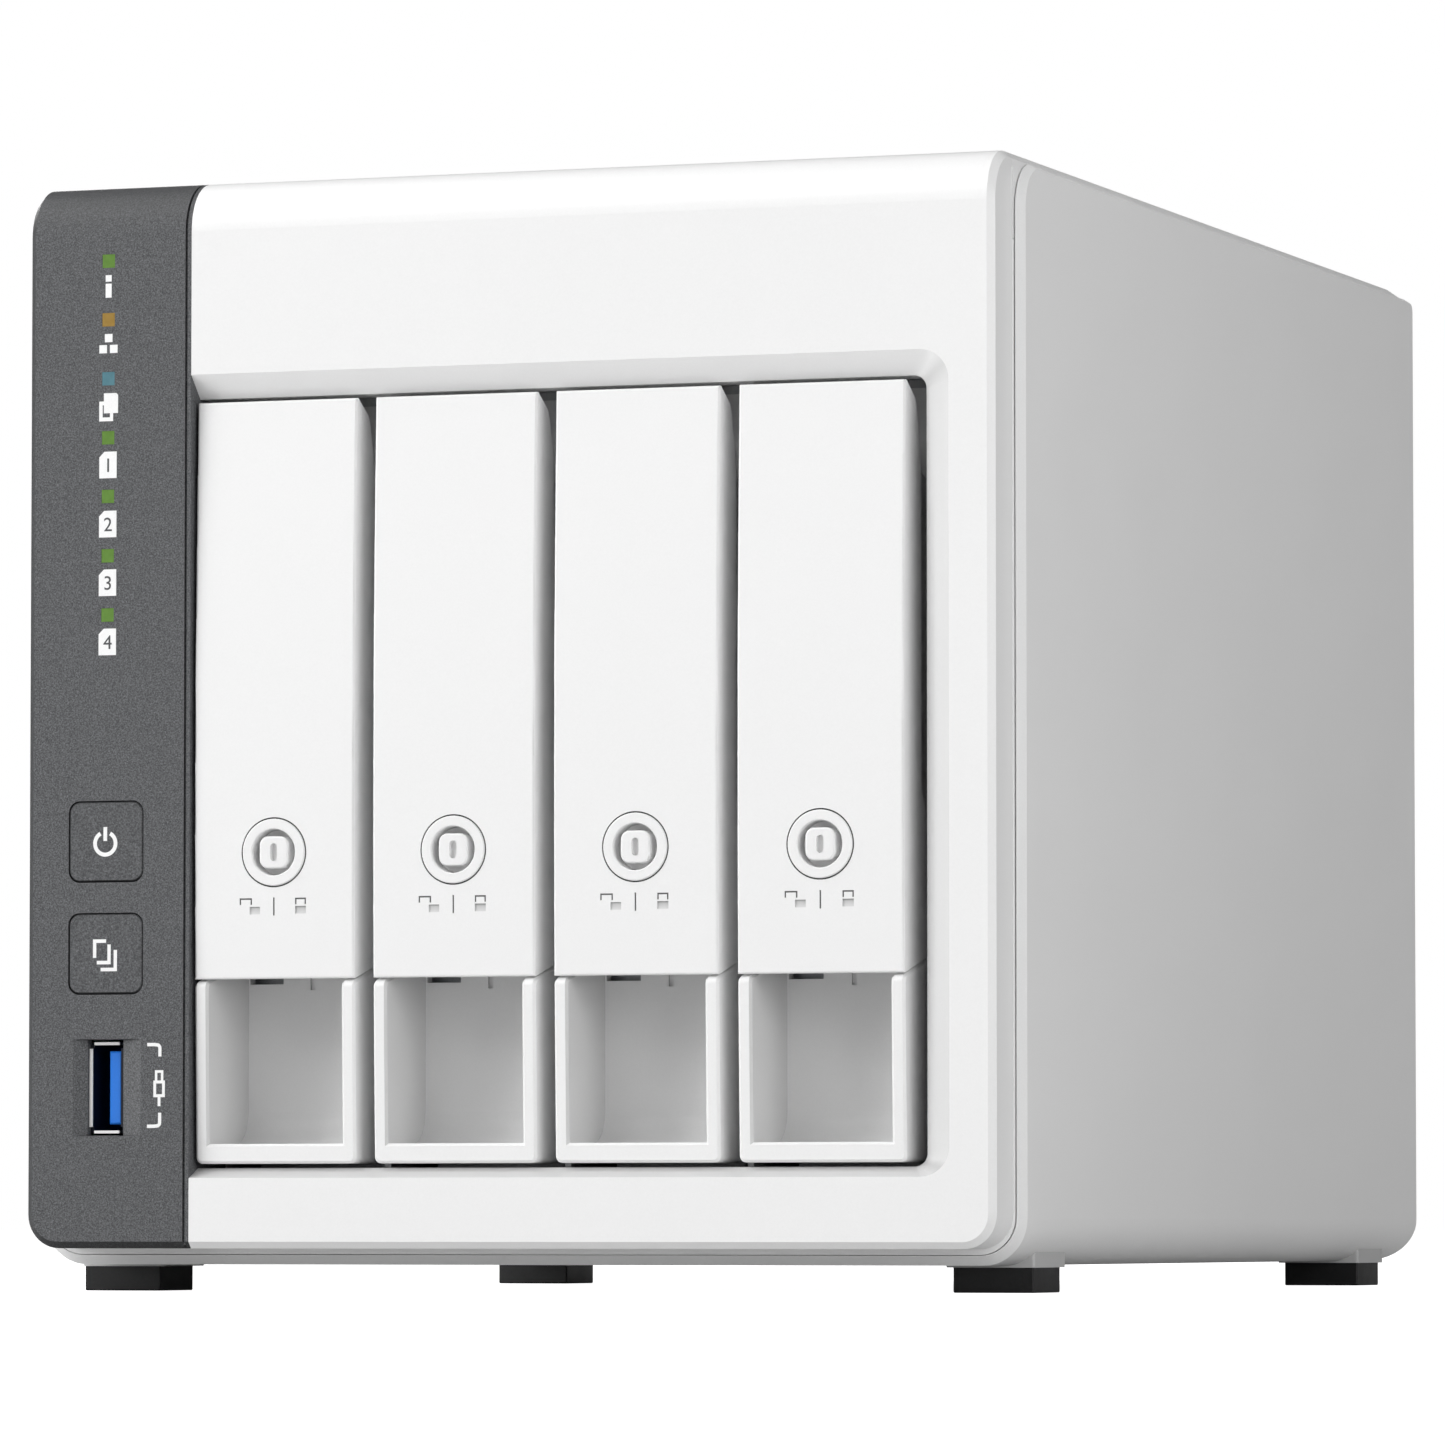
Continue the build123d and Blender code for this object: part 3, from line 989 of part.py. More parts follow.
# ---------------------------------------------------------------- fan
with BuildPart() as fan_frame:
    with BuildSketch(xz(FAN_Y1)):
        with Locations((FAN_X, FAN_Z)):
            RectangleRounded(FAN, FAN, 5.0)
            Circle(57.5, mode=Mode.SUBTRACT)
        with Locations(*[(FAN_X + a * FAN_HOLE, FAN_Z + b * FAN_HOLE) for a in (-1, 1) for b in (-1, 1)]):
            Circle(2.15, mode=Mode.SUBTRACT)
    extrude(amount=FAN_Y1 - FAN_Y0)
    # waist between the two flanges, leaving the corner posts
    for a in (-1, 1):
        block(FAN_X + a * 58.6, FAN_X + a * 62, FAN_Y0 + 4, FAN_Y1 - 4, FAN_Z - 44, FAN_Z + 44, mode=Mode.SUBTRACT)
        block(FAN_X - 44, FAN_X + 44, FAN_Y0 + 4, FAN_Y1 - 4, FAN_Z + a * 58.6, FAN_Z + a * 62, mode=Mode.SUBTRACT)
    # motor mount carried by four struts on the inner side
    rod_y(FAN_X, FAN_Z, 19.0, FAN_Y0, FAN_Y0 + 3.5)
    for k in range(4):
        ang = 45 + 90 * k
        with Locations(Location((FAN_X, FAN_Y0 + 1.75, FAN_Z), (0, ang, 0))):
            with Locations((38.5, 0, 0)):
                Box(40.0, 3.5, 3.2)
    rod_y(FAN_X, FAN_Z, 2.45, FAN_Y0 + 3.0, FAN_Y0 + 20.0)
fan_frame.part.label = "fan_frame"
export_step(fan_frame.part, "parts/fan_frame.step")

with BuildPart() as fan_rotor:
    rod_y(FAN_X, FAN_Z, 20.0, FAN_Y0 + 4.2, FAN_Y1 - 1.0)
    hub_edge = [e for e in fan_rotor.edges().filter_by(GeomType.CIRCLE) if e.center().Y > FAN_Y1 - 1.5]
    fillet(hub_edge, 1.5)
    rod_y(FAN_X, FAN_Z, 2.5, FAN_Y0 + 4.0, FAN_Y0 + 20.6, mode=Mode.SUBTRACT)
    rod_y(FAN_X, FAN_Z, 17.5, FAN_Y0 + 4.0, FAN_Y0 + 6.0, mode=Mode.SUBTRACT)
    for k in range(7):
        ang = 360.0 / 7 * k
        # blade plane: normal points outwards from the hub
        radial = Vector(math.cos(math.radians(ang)), 0, math.sin(math.radians(ang)))
        tangent = Vector(-math.sin(math.radians(ang)), 0, math.cos(math.radians(ang)))
        base = Vector(FAN_X, FAN_Y0 + 14.4, FAN_Z)
        with BuildSketch(Plane(origin=base + radial * 19.0, x_dir=tangent, z_dir=radial)):
            Rectangle(19.5, 1.7, rotation=42)
        with BuildSketch(Plane(origin=base + radial * 37.0, x_dir=tangent, z_dir=radial)):
            Rectangle(25.0, 1.5, rotation=34)
        with BuildSketch(Plane(origin=base + radial * 54.0, x_dir=tangent, z_dir=radial)):
            Rectangle(30.0, 1.3, rotation=27)
        loft()
fan_rotor.part.label = "fan_rotor"
export_step(fan_rotor.part, "parts/fan_rotor.step")

with BuildPart() as fan_grille:
    gy = 111.9
    for r in (14.0, 25.0, 36.0, 47.0, 57.5):
        with Locations(Location((FAN_X, gy, FAN_Z), (90, 0, 0))):
            Torus(r, 0.75)
    for k in range(4):
        ang = 45 + 90 * k
        with Locations(Location((FAN_X, gy, FAN_Z), (0, ang, 0))):
            with Locations(Location((41.7, 0, 0), (0, 90, 0))):
                Cylinder(0.8, 55.4)
    for a in (-1, 1):
        for b in (-1, 1):
            with Locations(Location((FAN_X + a * FAN_HOLE, gy, FAN_Z + b * FAN_HOLE), (90, 0, 0))):
                Torus(4.3, 0.75)
fan_grille.part.label = "fan_grille"
export_step(fan_grille.part, "parts/fan_grille.step")

with BuildPart() as fan_screws:
    for a in (-1, 1):
        for b in (-1, 1):
            x, z = FAN_X + a * FAN_HOLE, FAN_Z + b * FAN_HOLE
            rod_y(x, z, 1.95, 98.0, 111.2)
            rod_y(x, z, 3.3, REAR_OUT + 0.02, 112.7)
    for a in (-1, 1):
        for b in (-1, 1):
            x, z = FAN_X + a * FAN_HOLE, FAN_Z + b * FAN_HOLE
            block(x - 2.0, x + 2.0, 111.9, 113, z - 0.35, z + 0.35, mode=Mode.SUBTRACT)
            block(x - 0.35, x + 0.35, 111.9, 113, z - 2.0, z + 2.0, mode=Mode.SUBTRACT)
fan_screws.part.label = "fan_screws"
export_step(fan_screws.part, "parts/fan_screws.step")

for name, part in (("front_bezel", front_bezel), ("control_panel", control_panel), ("main_shell", main_shell)):
    bb = part.part.bounding_box()
    print(name, "solids", len(part.part.solids()), "x %.2f %.2f y %.2f %.2f z %.2f %.2f" % (
        bb.min.X, bb.max.X, bb.min.Y, bb.max.Y, bb.min.Z, bb.max.Z))
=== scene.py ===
import math

import bmesh
import bpy
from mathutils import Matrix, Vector


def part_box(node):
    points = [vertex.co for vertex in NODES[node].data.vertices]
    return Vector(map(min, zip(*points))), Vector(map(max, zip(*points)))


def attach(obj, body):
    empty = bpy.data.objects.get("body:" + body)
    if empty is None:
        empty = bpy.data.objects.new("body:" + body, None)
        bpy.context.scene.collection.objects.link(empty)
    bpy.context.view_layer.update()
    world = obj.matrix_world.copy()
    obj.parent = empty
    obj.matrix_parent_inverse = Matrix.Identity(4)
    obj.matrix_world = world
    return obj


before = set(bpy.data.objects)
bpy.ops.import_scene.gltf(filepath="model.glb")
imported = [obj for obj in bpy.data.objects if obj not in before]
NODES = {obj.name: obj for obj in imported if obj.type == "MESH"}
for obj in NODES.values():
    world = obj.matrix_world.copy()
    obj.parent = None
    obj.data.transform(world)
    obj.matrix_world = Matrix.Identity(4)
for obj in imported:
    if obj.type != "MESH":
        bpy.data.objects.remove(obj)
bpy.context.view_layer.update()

MM = 0.001
scene = bpy.context.scene

# ------------------------------------------------------------------ camera
PHOTO = 1445.0
FOCAL_PX = 8893.15
CAM_POS = Vector((0.49116, -1.36341, 0.01031))
YAW, PITCH = math.radians(20.017), math.radians(3.229)
cam_data = bpy.data.cameras.new("camera")
cam_data.sensor_width = 36.0
cam_data.lens = FOCAL_PX / PHOTO * 36.0
cam_data.clip_start, cam_data.clip_end = 0.02, 60.0
cam = bpy.data.objects.new("camera", cam_data)
scene.collection.objects.link(cam)
cam.location = CAM_POS
aim = Vector((-math.sin(YAW) * math.cos(PITCH), math.cos(YAW) * math.cos(PITCH), math.sin(PITCH)))
cam.rotation_mode = "QUATERNION"
cam.rotation_quaternion = aim.to_track_quat("-Z", "Y")
scene.camera = cam

scene.view_settings.view_transform = "Standard"
scene.view_settings.look = "None"
scene.view_settings.exposure = 0.0
scene.view_settings.gamma = 1.0


# ------------------------------------------------------------------ materials
def lin(r, g=None, b=None):
    """sRGB 0-255 to a linear colour."""
    if g is None:
        g = b = r
    out = []
    for c in (r, g, b):
        c = c / 255.0
        out.append(c / 12.92 if c <= 0.04045 else ((c + 0.055) / 1.055) ** 2.4)
    return tuple(out) + (1.0,)


def shade(col, k):
    return tuple(min(1.0, c * k) for c in col[:3]) + (1.0,)


class Mat:
    """A node material built up step by step."""

    def __init__(self, name):
        self.m = bpy.data.materials.new(name)
        self.m.use_nodes = True
        self.nt = self.m.node_tree
        self.bsdf = next(n for n in self.nt.nodes if n.type == "BSDF_PRINCIPLED")
        self.tc = self.node("ShaderNodeTexCoord")
        self.coord = self.tc.outputs["Object"]

    def node(self, kind, **values):
        n = self.nt.nodes.new(kind)
        for k, v in values.items():
            if hasattr(n, k):
                setattr(n, k, v)
            else:
                n.inputs[k].default_value = v
        return n

    def link(self, a, b):
        self.nt.links.new(a, b)

    def scaled(self, sx, sy, sz, rot=(0, 0, 0)):
        mp = self.node("ShaderNodeMapping")
        mp.inputs["Scale"].default_value = (sx, sy, sz)
        mp.inputs["Rotation"].default_value = rot
        self.link(self.coord, mp.inputs["Vector"])
        return mp.outputs["Vector"]

    def noise(self, scale, detail=2.0, rough=0.5, coord=None):
        n = self.node("ShaderNodeTexNoise")
        n.inputs["Scale"].default_value = scale
        n.inputs["Detail"].default_value = detail
        n.inputs["Roughness"].default_value = rough
        self.link(coord or self.coord, n.inputs["Vector"])
        return n.outputs["Fac"]

    def voronoi(self, scale, feature="F1", coord=None, output="Distance", **kw):
        n = self.node("ShaderNodeTexVoronoi", feature=feature, **kw)
        n.inputs["Scale"].default_value = scale
        self.link(coord or self.coord, n.inputs["Vector"])
        return n.outputs[output]

    def ramp(self, fac, stops):
        r = self.node("ShaderNodeValToRGB")
        el = r.color_ramp.elements
        while len(el) < len(stops):
            el.new(0.5)
        for e, (p, c) in zip(el, stops):
            e.position = p
            e.color = c
        self.link(fac, r.inputs["Fac"])
        return r.outputs["Color"]

    def remap(self, fac, a, b, c, d):
        r = self.node("ShaderNodeMapRange")
        for k, v in zip(("From Min", "From Max", "To Min", "To Max"), (a, b, c, d)):
            r.inputs[k].default_value = v
        self.link(fac, r.inputs["Value"])
        return r.outputs["Result"]

    def mix(self, fac, a, b, blend="MIX"):
        n = self.nt.nodes.new("ShaderNodeMix")
        n.data_type = "RGBA"
        n.blend_type = blend
        if isinstance(fac, (int, float)):
            n.inputs[0].default_value = fac
        else:
            self.link(fac, n.inputs[0])
        for s, v in ((6, a), (7, b)):
            if isinstance(v, tuple):
                n.inputs[s].default_value = v
            else:
                self.link(v, n.inputs[s])
        return n.outputs[2]

    def math(self, op, a, b=0.5):
        n = self.node("ShaderNodeMath", operation=op)
        for i, v in enumerate((a, b)):
            if isinstance(v, (int, float)):
                n.inputs[i].default_value = v
            else:
                self.link(v, n.inputs[i])
        return n.outputs[0]

    def set(self, socket, value):
        s = self.bsdf.inputs[socket]
        if isinstance(value, (int, float, tuple)):
            s.default_value = value
        else:
            self.link(value, s)
        return self

    def bump(self, height, strength, distance):
        n = self.node("ShaderNodeBump")
        n.inputs["Strength"].default_value = strength
        n.inputs["Distance"].default_value = distance
        self.link(height, n.inputs["Height"])
        self.link(n.outputs["Normal"], self.bsdf.inputs["Normal"])
        return self


def moulded(name, col, rough=0.42, grain=3200.0, var=0.012, bump=0.10, depth=0.00002, spec=0.5, cloud=0.008, painted_shading_terms=None):
    """Moulded plastic: faint cloudiness, a spark-eroded grain and slightly uneven gloss."""
    m = Mat(name)
    fine = m.noise(grain, 2.0, 0.6)
    big = m.noise(26.0, 3.0, 0.55)
    a = m.ramp(fine, [(0.28, shade(col, 1 - var)), (0.72, shade(col, 1 + var))])
    b = m.ramp(big, [(0.30, shade((1, 1, 1, 1), 1 - cloud)), (0.70, (1, 1, 1, 1))])
    m.set("Base Color", m.mix(1.0, a, b, "MULTIPLY"))
    m.set("Roughness", m.remap(m.noise(9.0, 2.0), 0.3, 0.7, rough - 0.012, rough + 0.012))
    m.set("Specular IOR Level", spec)
    m.bump(fine, bump, depth)
    # optional painted light and shade, following the object's normals and position
    if painted_shading_terms:
        toned(m, painted_shading_terms)
    return m.m


def powder_coat(name, col, rough=0.48, scale=1500.0, bump=0.22, var=0.012, spec=0.5):
    """Powder-coated sheet steel: fine orange peel and a dust of darker specks."""
    m = Mat(name)
    peel = m.noise(scale, 1.5, 0.5)
    speck = m.noise(scale * 2.6, 2.0, 0.65)
    big = m.noise(14.0, 3.0, 0.5)
    a = m.ramp(speck, [(0.30, shade(col, 1 - var * 1.6)), (0.52, col), (0.75, shade(col, 1 + var))])
    b = m.ramp(big, [(0.30, shade((1, 1, 1, 1), 0.990)), (0.70, (1, 1, 1, 1))])
    m.set("Base Color", m.mix(1.0, a, b, "MULTIPLY"))
    m.set("Roughness", m.remap(m.noise(60.0, 3.0), 0.3, 0.7, rough - 0.05, rough + 0.06))
    m.set("Specular IOR Level", spec)
    m.bump(peel, bump, 0.00003)
    return m.m


def flecked(name, col, rough=0.5, scale=3600.0, var=0.26, bump=0.25, fleck=1.35):
    """Dark painted plastic with a metallic fleck in the paint."""
    m = Mat(name)
    fine = m.noise(scale, 2.5, 0.7)
    spots = m.voronoi(scale * 0.55, "F1", output="Distance")
    a = m.ramp(fine, [(0.36, shade(col, 1 - var)), (0.50, col), (0.64, shade(col, 1 + var * 1.15))])
    s = m.ramp(spots, [(0.0, shade(col, fleck)), (0.22, shade(col, fleck)), (0.34, shade(col, 1.0)), (1.0, shade(col, 0.94))])
    paint = m.mix(0.35, a, s)
    # painted shade: the colour is darkened on faces turned down (to 0.36), left (to 0.55) and up (to 0.62), that is on
    # the chamfers and the top rounding
    sep = m.node("ShaderNodeSeparateXYZ")
    m.link(m.tc.outputs["Normal"], sep.inputs[0])
    down = m.remap(sep.outputs["Z"], -0.60, -0.30, 0.36, 1.0)
    left = m.remap(sep.outputs["X"], -0.60, -0.30, 0.55, 1.0)
    up = m.remap(sep.outputs["Z"], 0.02, 0.60, 1.0, 0.62)
    edge = m.math("MULTIPLY", m.math("MULTIPLY", down, left), up)
    grey = m.node("ShaderNodeCombineColor")
    for k in ("Red", "Green", "Blue"):
        m.link(edge, grey.inputs[k])
    m.set("Base Color", m.mix(1.0, paint, grey.outputs["Color"], "MULTIPLY"))
    m.set("Roughness", m.remap(fine, 0.3, 0.7, rough - 0.08, rough + 0.08))
    m.set("Specular IOR Level", 0.25)
    m.bump(fine, bump, 0.00003)
    return m.m


def metal(name, col, rough=0.3, stretch=(1, 1, 1), scale=900.0, bump=0.06, spangle=0.0):
    """Sheet or turned metal: fine drawing lines, plus zinc spangle when asked for."""
    m = Mat(name)
    lines = m.noise(scale, 3.0, 0.6, coord=m.scaled(*stretch))
    a = m.ramp(lines, [(0.28, shade(col, 0.90)), (0.72, shade(col, 1.08))])
    if spangle:
        cells = m.voronoi(spangle, "F1", output="Color")
        bw = m.node("ShaderNodeRGBToBW")
        m.link(cells, bw.inputs[0])
        s = m.ramp(bw.outputs[0], [(0.15, shade(col, 0.86)), (0.85, shade(col, 1.06))])
        a = m.mix(0.5, a, s)
    m.set("Base Color", a)
    m.set("Metallic", 1.0)
    m.set("Roughness", m.remap(lines, 0.3, 0.7, rough - 0.07, rough + 0.09))
    m.bump(lines, bump, 0.00002)
    return m.m


def rubber(name, col, rough=0.72):
    m = Mat(name)
    fine = m.noise(2600.0, 3.0, 0.65)
    dust = m.noise(90.0, 4.0, 0.6)
    a = m.ramp(fine, [(0.28, shade(col, 0.80)), (0.72, shade(col, 1.22))])
    d = m.ramp(dust, [(0.35, (1, 1, 1, 1)), (0.80, shade((1, 1, 1, 1), 0.80))])
    m.set("Base Color", m.mix(1.0, a, d, "MULTIPLY"))
    m.set("Roughness", m.remap(dust, 0.3, 0.7, rough - 0.06, rough + 0.08))
    m.set("Specular IOR Level", 0.35)
    m.bump(fine, 0.30, 0.00005)
    return m.m


def circuit_board(name, axis="XZ"):
    """Solder mask over copper: routed tracks, ground pour and vias."""
    m = Mat(name)
    rot = {"XZ": (math.radians(90), 0, 0), "XY": (0, 0, 0), "YZ": (math.radians(90), 0, math.radians(90))}[axis]
    flat = m.scaled(1, 1, 1, rot)
    cells = m.voronoi(260.0, "F1", coord=flat, output="Color", distance="CHEBYCHEV")
    bw = m.node("ShaderNodeRGBToBW")
    m.link(cells, bw.inputs[0])
    wave = m.node("ShaderNodeTexWave", wave_type="BANDS", bands_direction="DIAGONAL")
    wave.inputs["Scale"].default_value = 170.0
    wave.inputs["Distortion"].default_value = 1.5
    m.link(flat, wave.inputs["Vector"])
    brick = m.node("ShaderNodeTexBrick")
    brick.inputs["Scale"].default_value = 210.0
    brick.inputs["Mortar Size"].default_value = 0.035
    brick.inputs["Color1"].default_value = lin(16, 72, 44)
    brick.inputs["Color2"].default_value = lin(20, 84, 52)
    brick.inputs["Mortar"].default_value = lin(40, 122, 76)
    m.link(flat, brick.inputs["Vector"])
    pour = m.ramp(bw.outputs[0], [(0.40, lin(15, 66, 41)), (0.44, lin(26, 96, 60))])
    tracks = m.ramp(wave.outputs["Fac"], [(0.46, (0, 0, 0, 1)), (0.50, (1, 1, 1, 1)), (0.54, (0, 0, 0, 1))])
    base = m.mix(m.remap(bw.outputs[0], 0.4, 0.5, 0.0, 1.0), brick.outputs["Color"], pour)
    base = m.mix(tracks, base, lin(38, 116, 72))
    vias = m.voronoi(620.0, "F1", coord=flat, output="Distance")
    via = m.ramp(vias, [(0.0, (1, 1, 1, 1)), (0.10, (1, 1, 1, 1)), (0.13, (0, 0, 0, 1))])
    m.set("Base Color", m.mix(via, base, lin(196, 170, 96)))
    m.set("Roughness", m.remap(m.noise(400.0), 0.3, 0.7, 0.28, 0.42))
    m.bump(tracks, 0.2, 0.00004)
    return m.m


def lens(name, col):
    """Light pipe plastic: milky and softly lit through."""
    m = Mat(name)
    n = m.noise(1500.0, 2.0)
    m.set("Base Color", m.ramp(n, [(0.3, shade(col, 0.93)), (0.7, shade(col, 1.07))]))
    m.set("Roughness", m.remap(n, 0.3, 0.7, 0.34, 0.44))
    m.set("Subsurface Weight", 0.15)
    m.set("Subsurface Radius", (0.0006, 0.0006, 0.0006))
    m.set("Subsurface Scale", 1.0)
    m.bump(n, 0.05, 0.00002)
    return m.m


def ink(name, col):
    """Pad-printed ink with pinholes."""
    m = Mat(name)
    n = m.noise(5200.0, 2.0, 0.6)
    m.set("Base Color", m.ramp(n, [(0.25, shade(col, 0.93)), (0.55, col)]))
    m.set("Roughness", m.remap(n, 0.3, 0.7, 0.50, 0.62))
    m.bump(n, 0.08, 0.00001)
    return m.m


def handle_paint(name, col):
    """Tray handle: moulded white, with painted shade on the floor of the sunk marks and a painted shadow in the groove
    round the lock ring.
    """
    m = Mat(name)
    sep = m.node("ShaderNodeSeparateXYZ")
    m.link(m.coord, sep.inputs[0])
    fine = m.noise(3200.0, 2.0, 0.6)
    base = m.ramp(fine, [(0.28, shade(col, 0.988)), (0.72, shade(col, 1.012))])
    y, z = sep.outputs["Y"], sep.outputs["Z"]
    pitch, width = 0.029465, 0.02642
    u = m.math("MULTIPLY", m.math("FRACT", m.math("DIVIDE", m.math("SUBTRACT", sep.outputs["X"], -0.05071), pitch), 0.0), pitch)
    du = m.math("SUBTRACT", u, width / 2)

    def inside(v, a, b):
        return m.math("MULTIPLY", m.math("GREATER_THAN", v, a), m.math("LESS_THAN", v, b))

    # marks: painted shade on the floor of the sunk symbols, dark grey (112) in the shackle strokes and centre slot, and
    # on the body a grey that darkens towards its top
    floor_y = MARK_FLOOR
    sunk = m.math("MULTIPLY", inside(y, floor_y - 0.00012, floor_y + 0.0001), inside(z, 0.0572, 0.0603))
    sunk = m.math("MULTIPLY", sunk, m.math("LESS_THAN", m.math("ABSOLUTE", du, 0.0), 0.0065))
    body = m.math("MULTIPLY", m.math("LESS_THAN", z, 0.05882), m.math("GREATER_THAN", m.math("ABSOLUTE", du, 0.0), 0.0006))
    soft = m.ramp(m.remap(z, 0.0575, 0.0588, 0.0, 1.0), [(0.0, lin(222)), (0.7, lin(200)), (1.0, lin(150))])
    mark = m.mix(body, lin(112), soft)
    # painted shadow: dark grey (60) laid in the groove round the ring
    r2 = m.math("ADD", m.math("MULTIPLY", du, du), m.math("MULTIPLY", m.math("SUBTRACT", z, 0.067), m.math("SUBTRACT", z, 0.067)))
    ring = m.math("MULTIPLY", inside(m.math("SQRT", r2, 0.0), 0.00508, 0.00540), m.math("GREATER_THAN", y, floor_y - 0.00012))
    ring = m.math("MULTIPLY", ring, m.math("LESS_THAN", y, floor_y + 0.0004))
    c = m.mix(sunk, base, mark)
    c = m.mix(ring, c, lin(60))
    m.set("Base Color", c)
    m.set("Roughness", m.remap(m.noise(9.0, 2.0), 0.3, 0.7, 0.428, 0.452))
    m.bump(fine, 0.10, 0.00002)
    return m.m


def socket_shell(name, box):
    """Front socket's folded shell: bright plated rim; painted shade: dark navy, not plating, inside and on the rim's
    right wall.
    """
    m = Mat(name)
    sep = m.node("ShaderNodeSeparateXYZ")
    m.link(m.coord, sep.inputs[0])
    lo_b, hi_b = box
    rim = m.math("LESS_THAN", sep.outputs["Y"], lo_b.y + 0.00025)
    right = m.math("GREATER_THAN", sep.outputs["X"], hi_b.x - 0.0008)
    n = m.noise(1800.0, 2.0, 0.5)
    bright = m.ramp(n, [(0.3, (0.93, 0.93, 0.93, 1)), (0.7, (0.97, 0.97, 0.97, 1))])
    # painted shade: the shell's inside and the rim's right wall take this dark navy instead of the plating
    dark = m.ramp(n, [(0.3, lin(3, 8, 22)), (0.7, lin(5, 14, 36))])
    lit = m.math("MULTIPLY", rim, m.math("SUBTRACT", 1.0, right))
    m.set("Base Color", m.mix(lit, dark, bright))
    m.set("Metallic", m.math("MULTIPLY", lit, 0.25))
    m.set("Roughness", m.remap(n, 0.3, 0.7, 0.30, 0.38))
    m.bump(n, 0.03, 0.00001)
    return m.m


def toned(mat, terms):
    """Paint light and shade into a material's base colour: multiply it by factors that follow the object's own normals
    and position.

    Each term is (axis, from, to, factor, conditions); conditions are (axis, low, high) in metres.
    """
    sep = mat.node("ShaderNodeSeparateXYZ")
    mat.link(mat.tc.outputs["Normal"], sep.inputs[0])
    pos = mat.node("ShaderNodeSeparateXYZ")
    mat.link(mat.coord, pos.inputs[0])
    total = None
    for axis, a, b, factor, where in terms:
        t = mat.remap(sep.outputs[axis], a, b, 0.0, 1.0)
        for ax, lo_w, hi_w in where:
            v = pos.outputs[ax] if isinstance(ax, str) else ax(mat, pos)
            t = mat.math("MULTIPLY", t, mat.math("MULTIPLY", mat.math("GREATER_THAN", v, lo_w), mat.math("LESS_THAN", v, hi_w)))
        k = mat.math("ADD", 1.0, mat.math("MULTIPLY", t, factor - 1.0))
        total = k if total is None else mat.math("MULTIPLY", total, k)
    grey = mat.node("ShaderNodeCombineColor")
    for k in ("Red", "Green", "Blue"):
        mat.link(total, grey.inputs[k])
    src = mat.bsdf.inputs["Base Color"].links[0].from_socket
    mat.set("Base Color", mat.mix(1.0, src, grey.outputs["Color"], "MULTIPLY"))


def bay_offset(mat, pos):
    """Distance from the middle of the tray the point belongs to."""
    u = mat.math("MULTIPLY", mat.math("FRACT", mat.math("DIVIDE", mat.math("SUBTRACT", pos.outputs["X"], -0.05071), 0.029465), 0.0), 0.029465)
    return mat.math("SUBTRACT", u, 0.01321)


def jack(name, depth):
    """Plated jack shell with a black insert and a row of gold contacts behind its mouth."""
    m = Mat(name)
    sep = m.node("ShaderNodeSeparateXYZ")
    m.link(m.coord, sep.inputs[0])
    inner = m.math("LESS_THAN", sep.outputs["Y"], depth)
    lines = m.noise(900.0, 3.0, 0.6, coord=m.scaled(1, 0.15, 1))
    plate = m.ramp(lines, [(0.28, (0.74, 0.75, 0.76, 1)), (0.72, (0.88, 0.89, 0.90, 1))])
    insert = m.ramp(m.noise(2600.0, 2.0), [(0.3, lin(22, 22, 24)), (0.7, lin(32, 32, 34))])
    wave = m.math("FRACT", m.math("MULTIPLY", sep.outputs["Z"], 1000.0 / 1.27), 0.0)
    pins = m.math("MULTIPLY", m.math("GREATER_THAN", wave, 0.62), m.math("LESS_THAN", sep.outputs["Y"], depth - 0.0022))
    body = m.mix(pins, insert, m.ramp(lines, [(0.3, lin(206, 170, 96)), (0.7, lin(226, 192, 118))]))
    m.set("Base Color", m.mix(inner, plate, body))
    m.set("Metallic", m.math("MAXIMUM", m.math("SUBTRACT", 1.0, inner), m.math("MULTIPLY", pins, inner)))
    m.set("Roughness", m.remap(lines, 0.3, 0.7, 0.24, 0.36))
    m.bump(lines, 0.05, 0.00002)
    return m.m


def drive_label(name):
    """Printed paper label: white stock, tinted header, ruled lines and a bar field, no lettering."""
    m = Mat(name)
    sep = m.node("ShaderNodeSeparateXYZ")
    m.link(m.coord, sep.inputs[0])
    y, z = sep.outputs["Y"], sep.outputs["Z"]
    paper = m.ramp(m.noise(900.0, 3.0), [(0.3, lin(226, 227, 228)), (0.7, lin(238, 238, 239))])
    bars = m.math("GREATER_THAN", m.noise(1.0, 0.0, 0.5, coord=m.scaled(0.0, 1400.0, 0.0)), 0.52)
    field = m.math("MULTIPLY", m.math("LESS_THAN", z, 0.062), m.math("GREATER_THAN", z, 0.050))
    rule = m.math("MULTIPLY", m.math("GREATER_THAN", m.math("FRACT", m.math("MULTIPLY", z, 333.0), 0.0), 0.86),
                  m.math("MULTIPLY", m.math("LESS_THAN", z, 0.094), m.math("GREATER_THAN", z, 0.066)))
    head = m.math("GREATER_THAN", z, 0.098)
    c = m.mix(m.math("MULTIPLY", bars, field), paper, lin(34, 34, 36))
    c = m.mix(rule, c, lin(120, 122, 126))
    c = m.mix(head, c, lin(70, 104, 142))
    m.set("Base Color", c)
    m.set("Roughness", m.remap(m.noise(60.0), 0.3, 0.7, 0.38, 0.50))
    return m.m


WHITE = (0.86, 0.86, 0.86, 1.0)
REAR_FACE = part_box("lan_ports")[1].y
MARK_FLOOR = (-112.40 + 0.997 * ((58.8 - 78.03) / 58.49) ** 2 + 0.22) * MM
M = {}
M["white"] = moulded("mat_white_bezel", WHITE, rough=0.30)
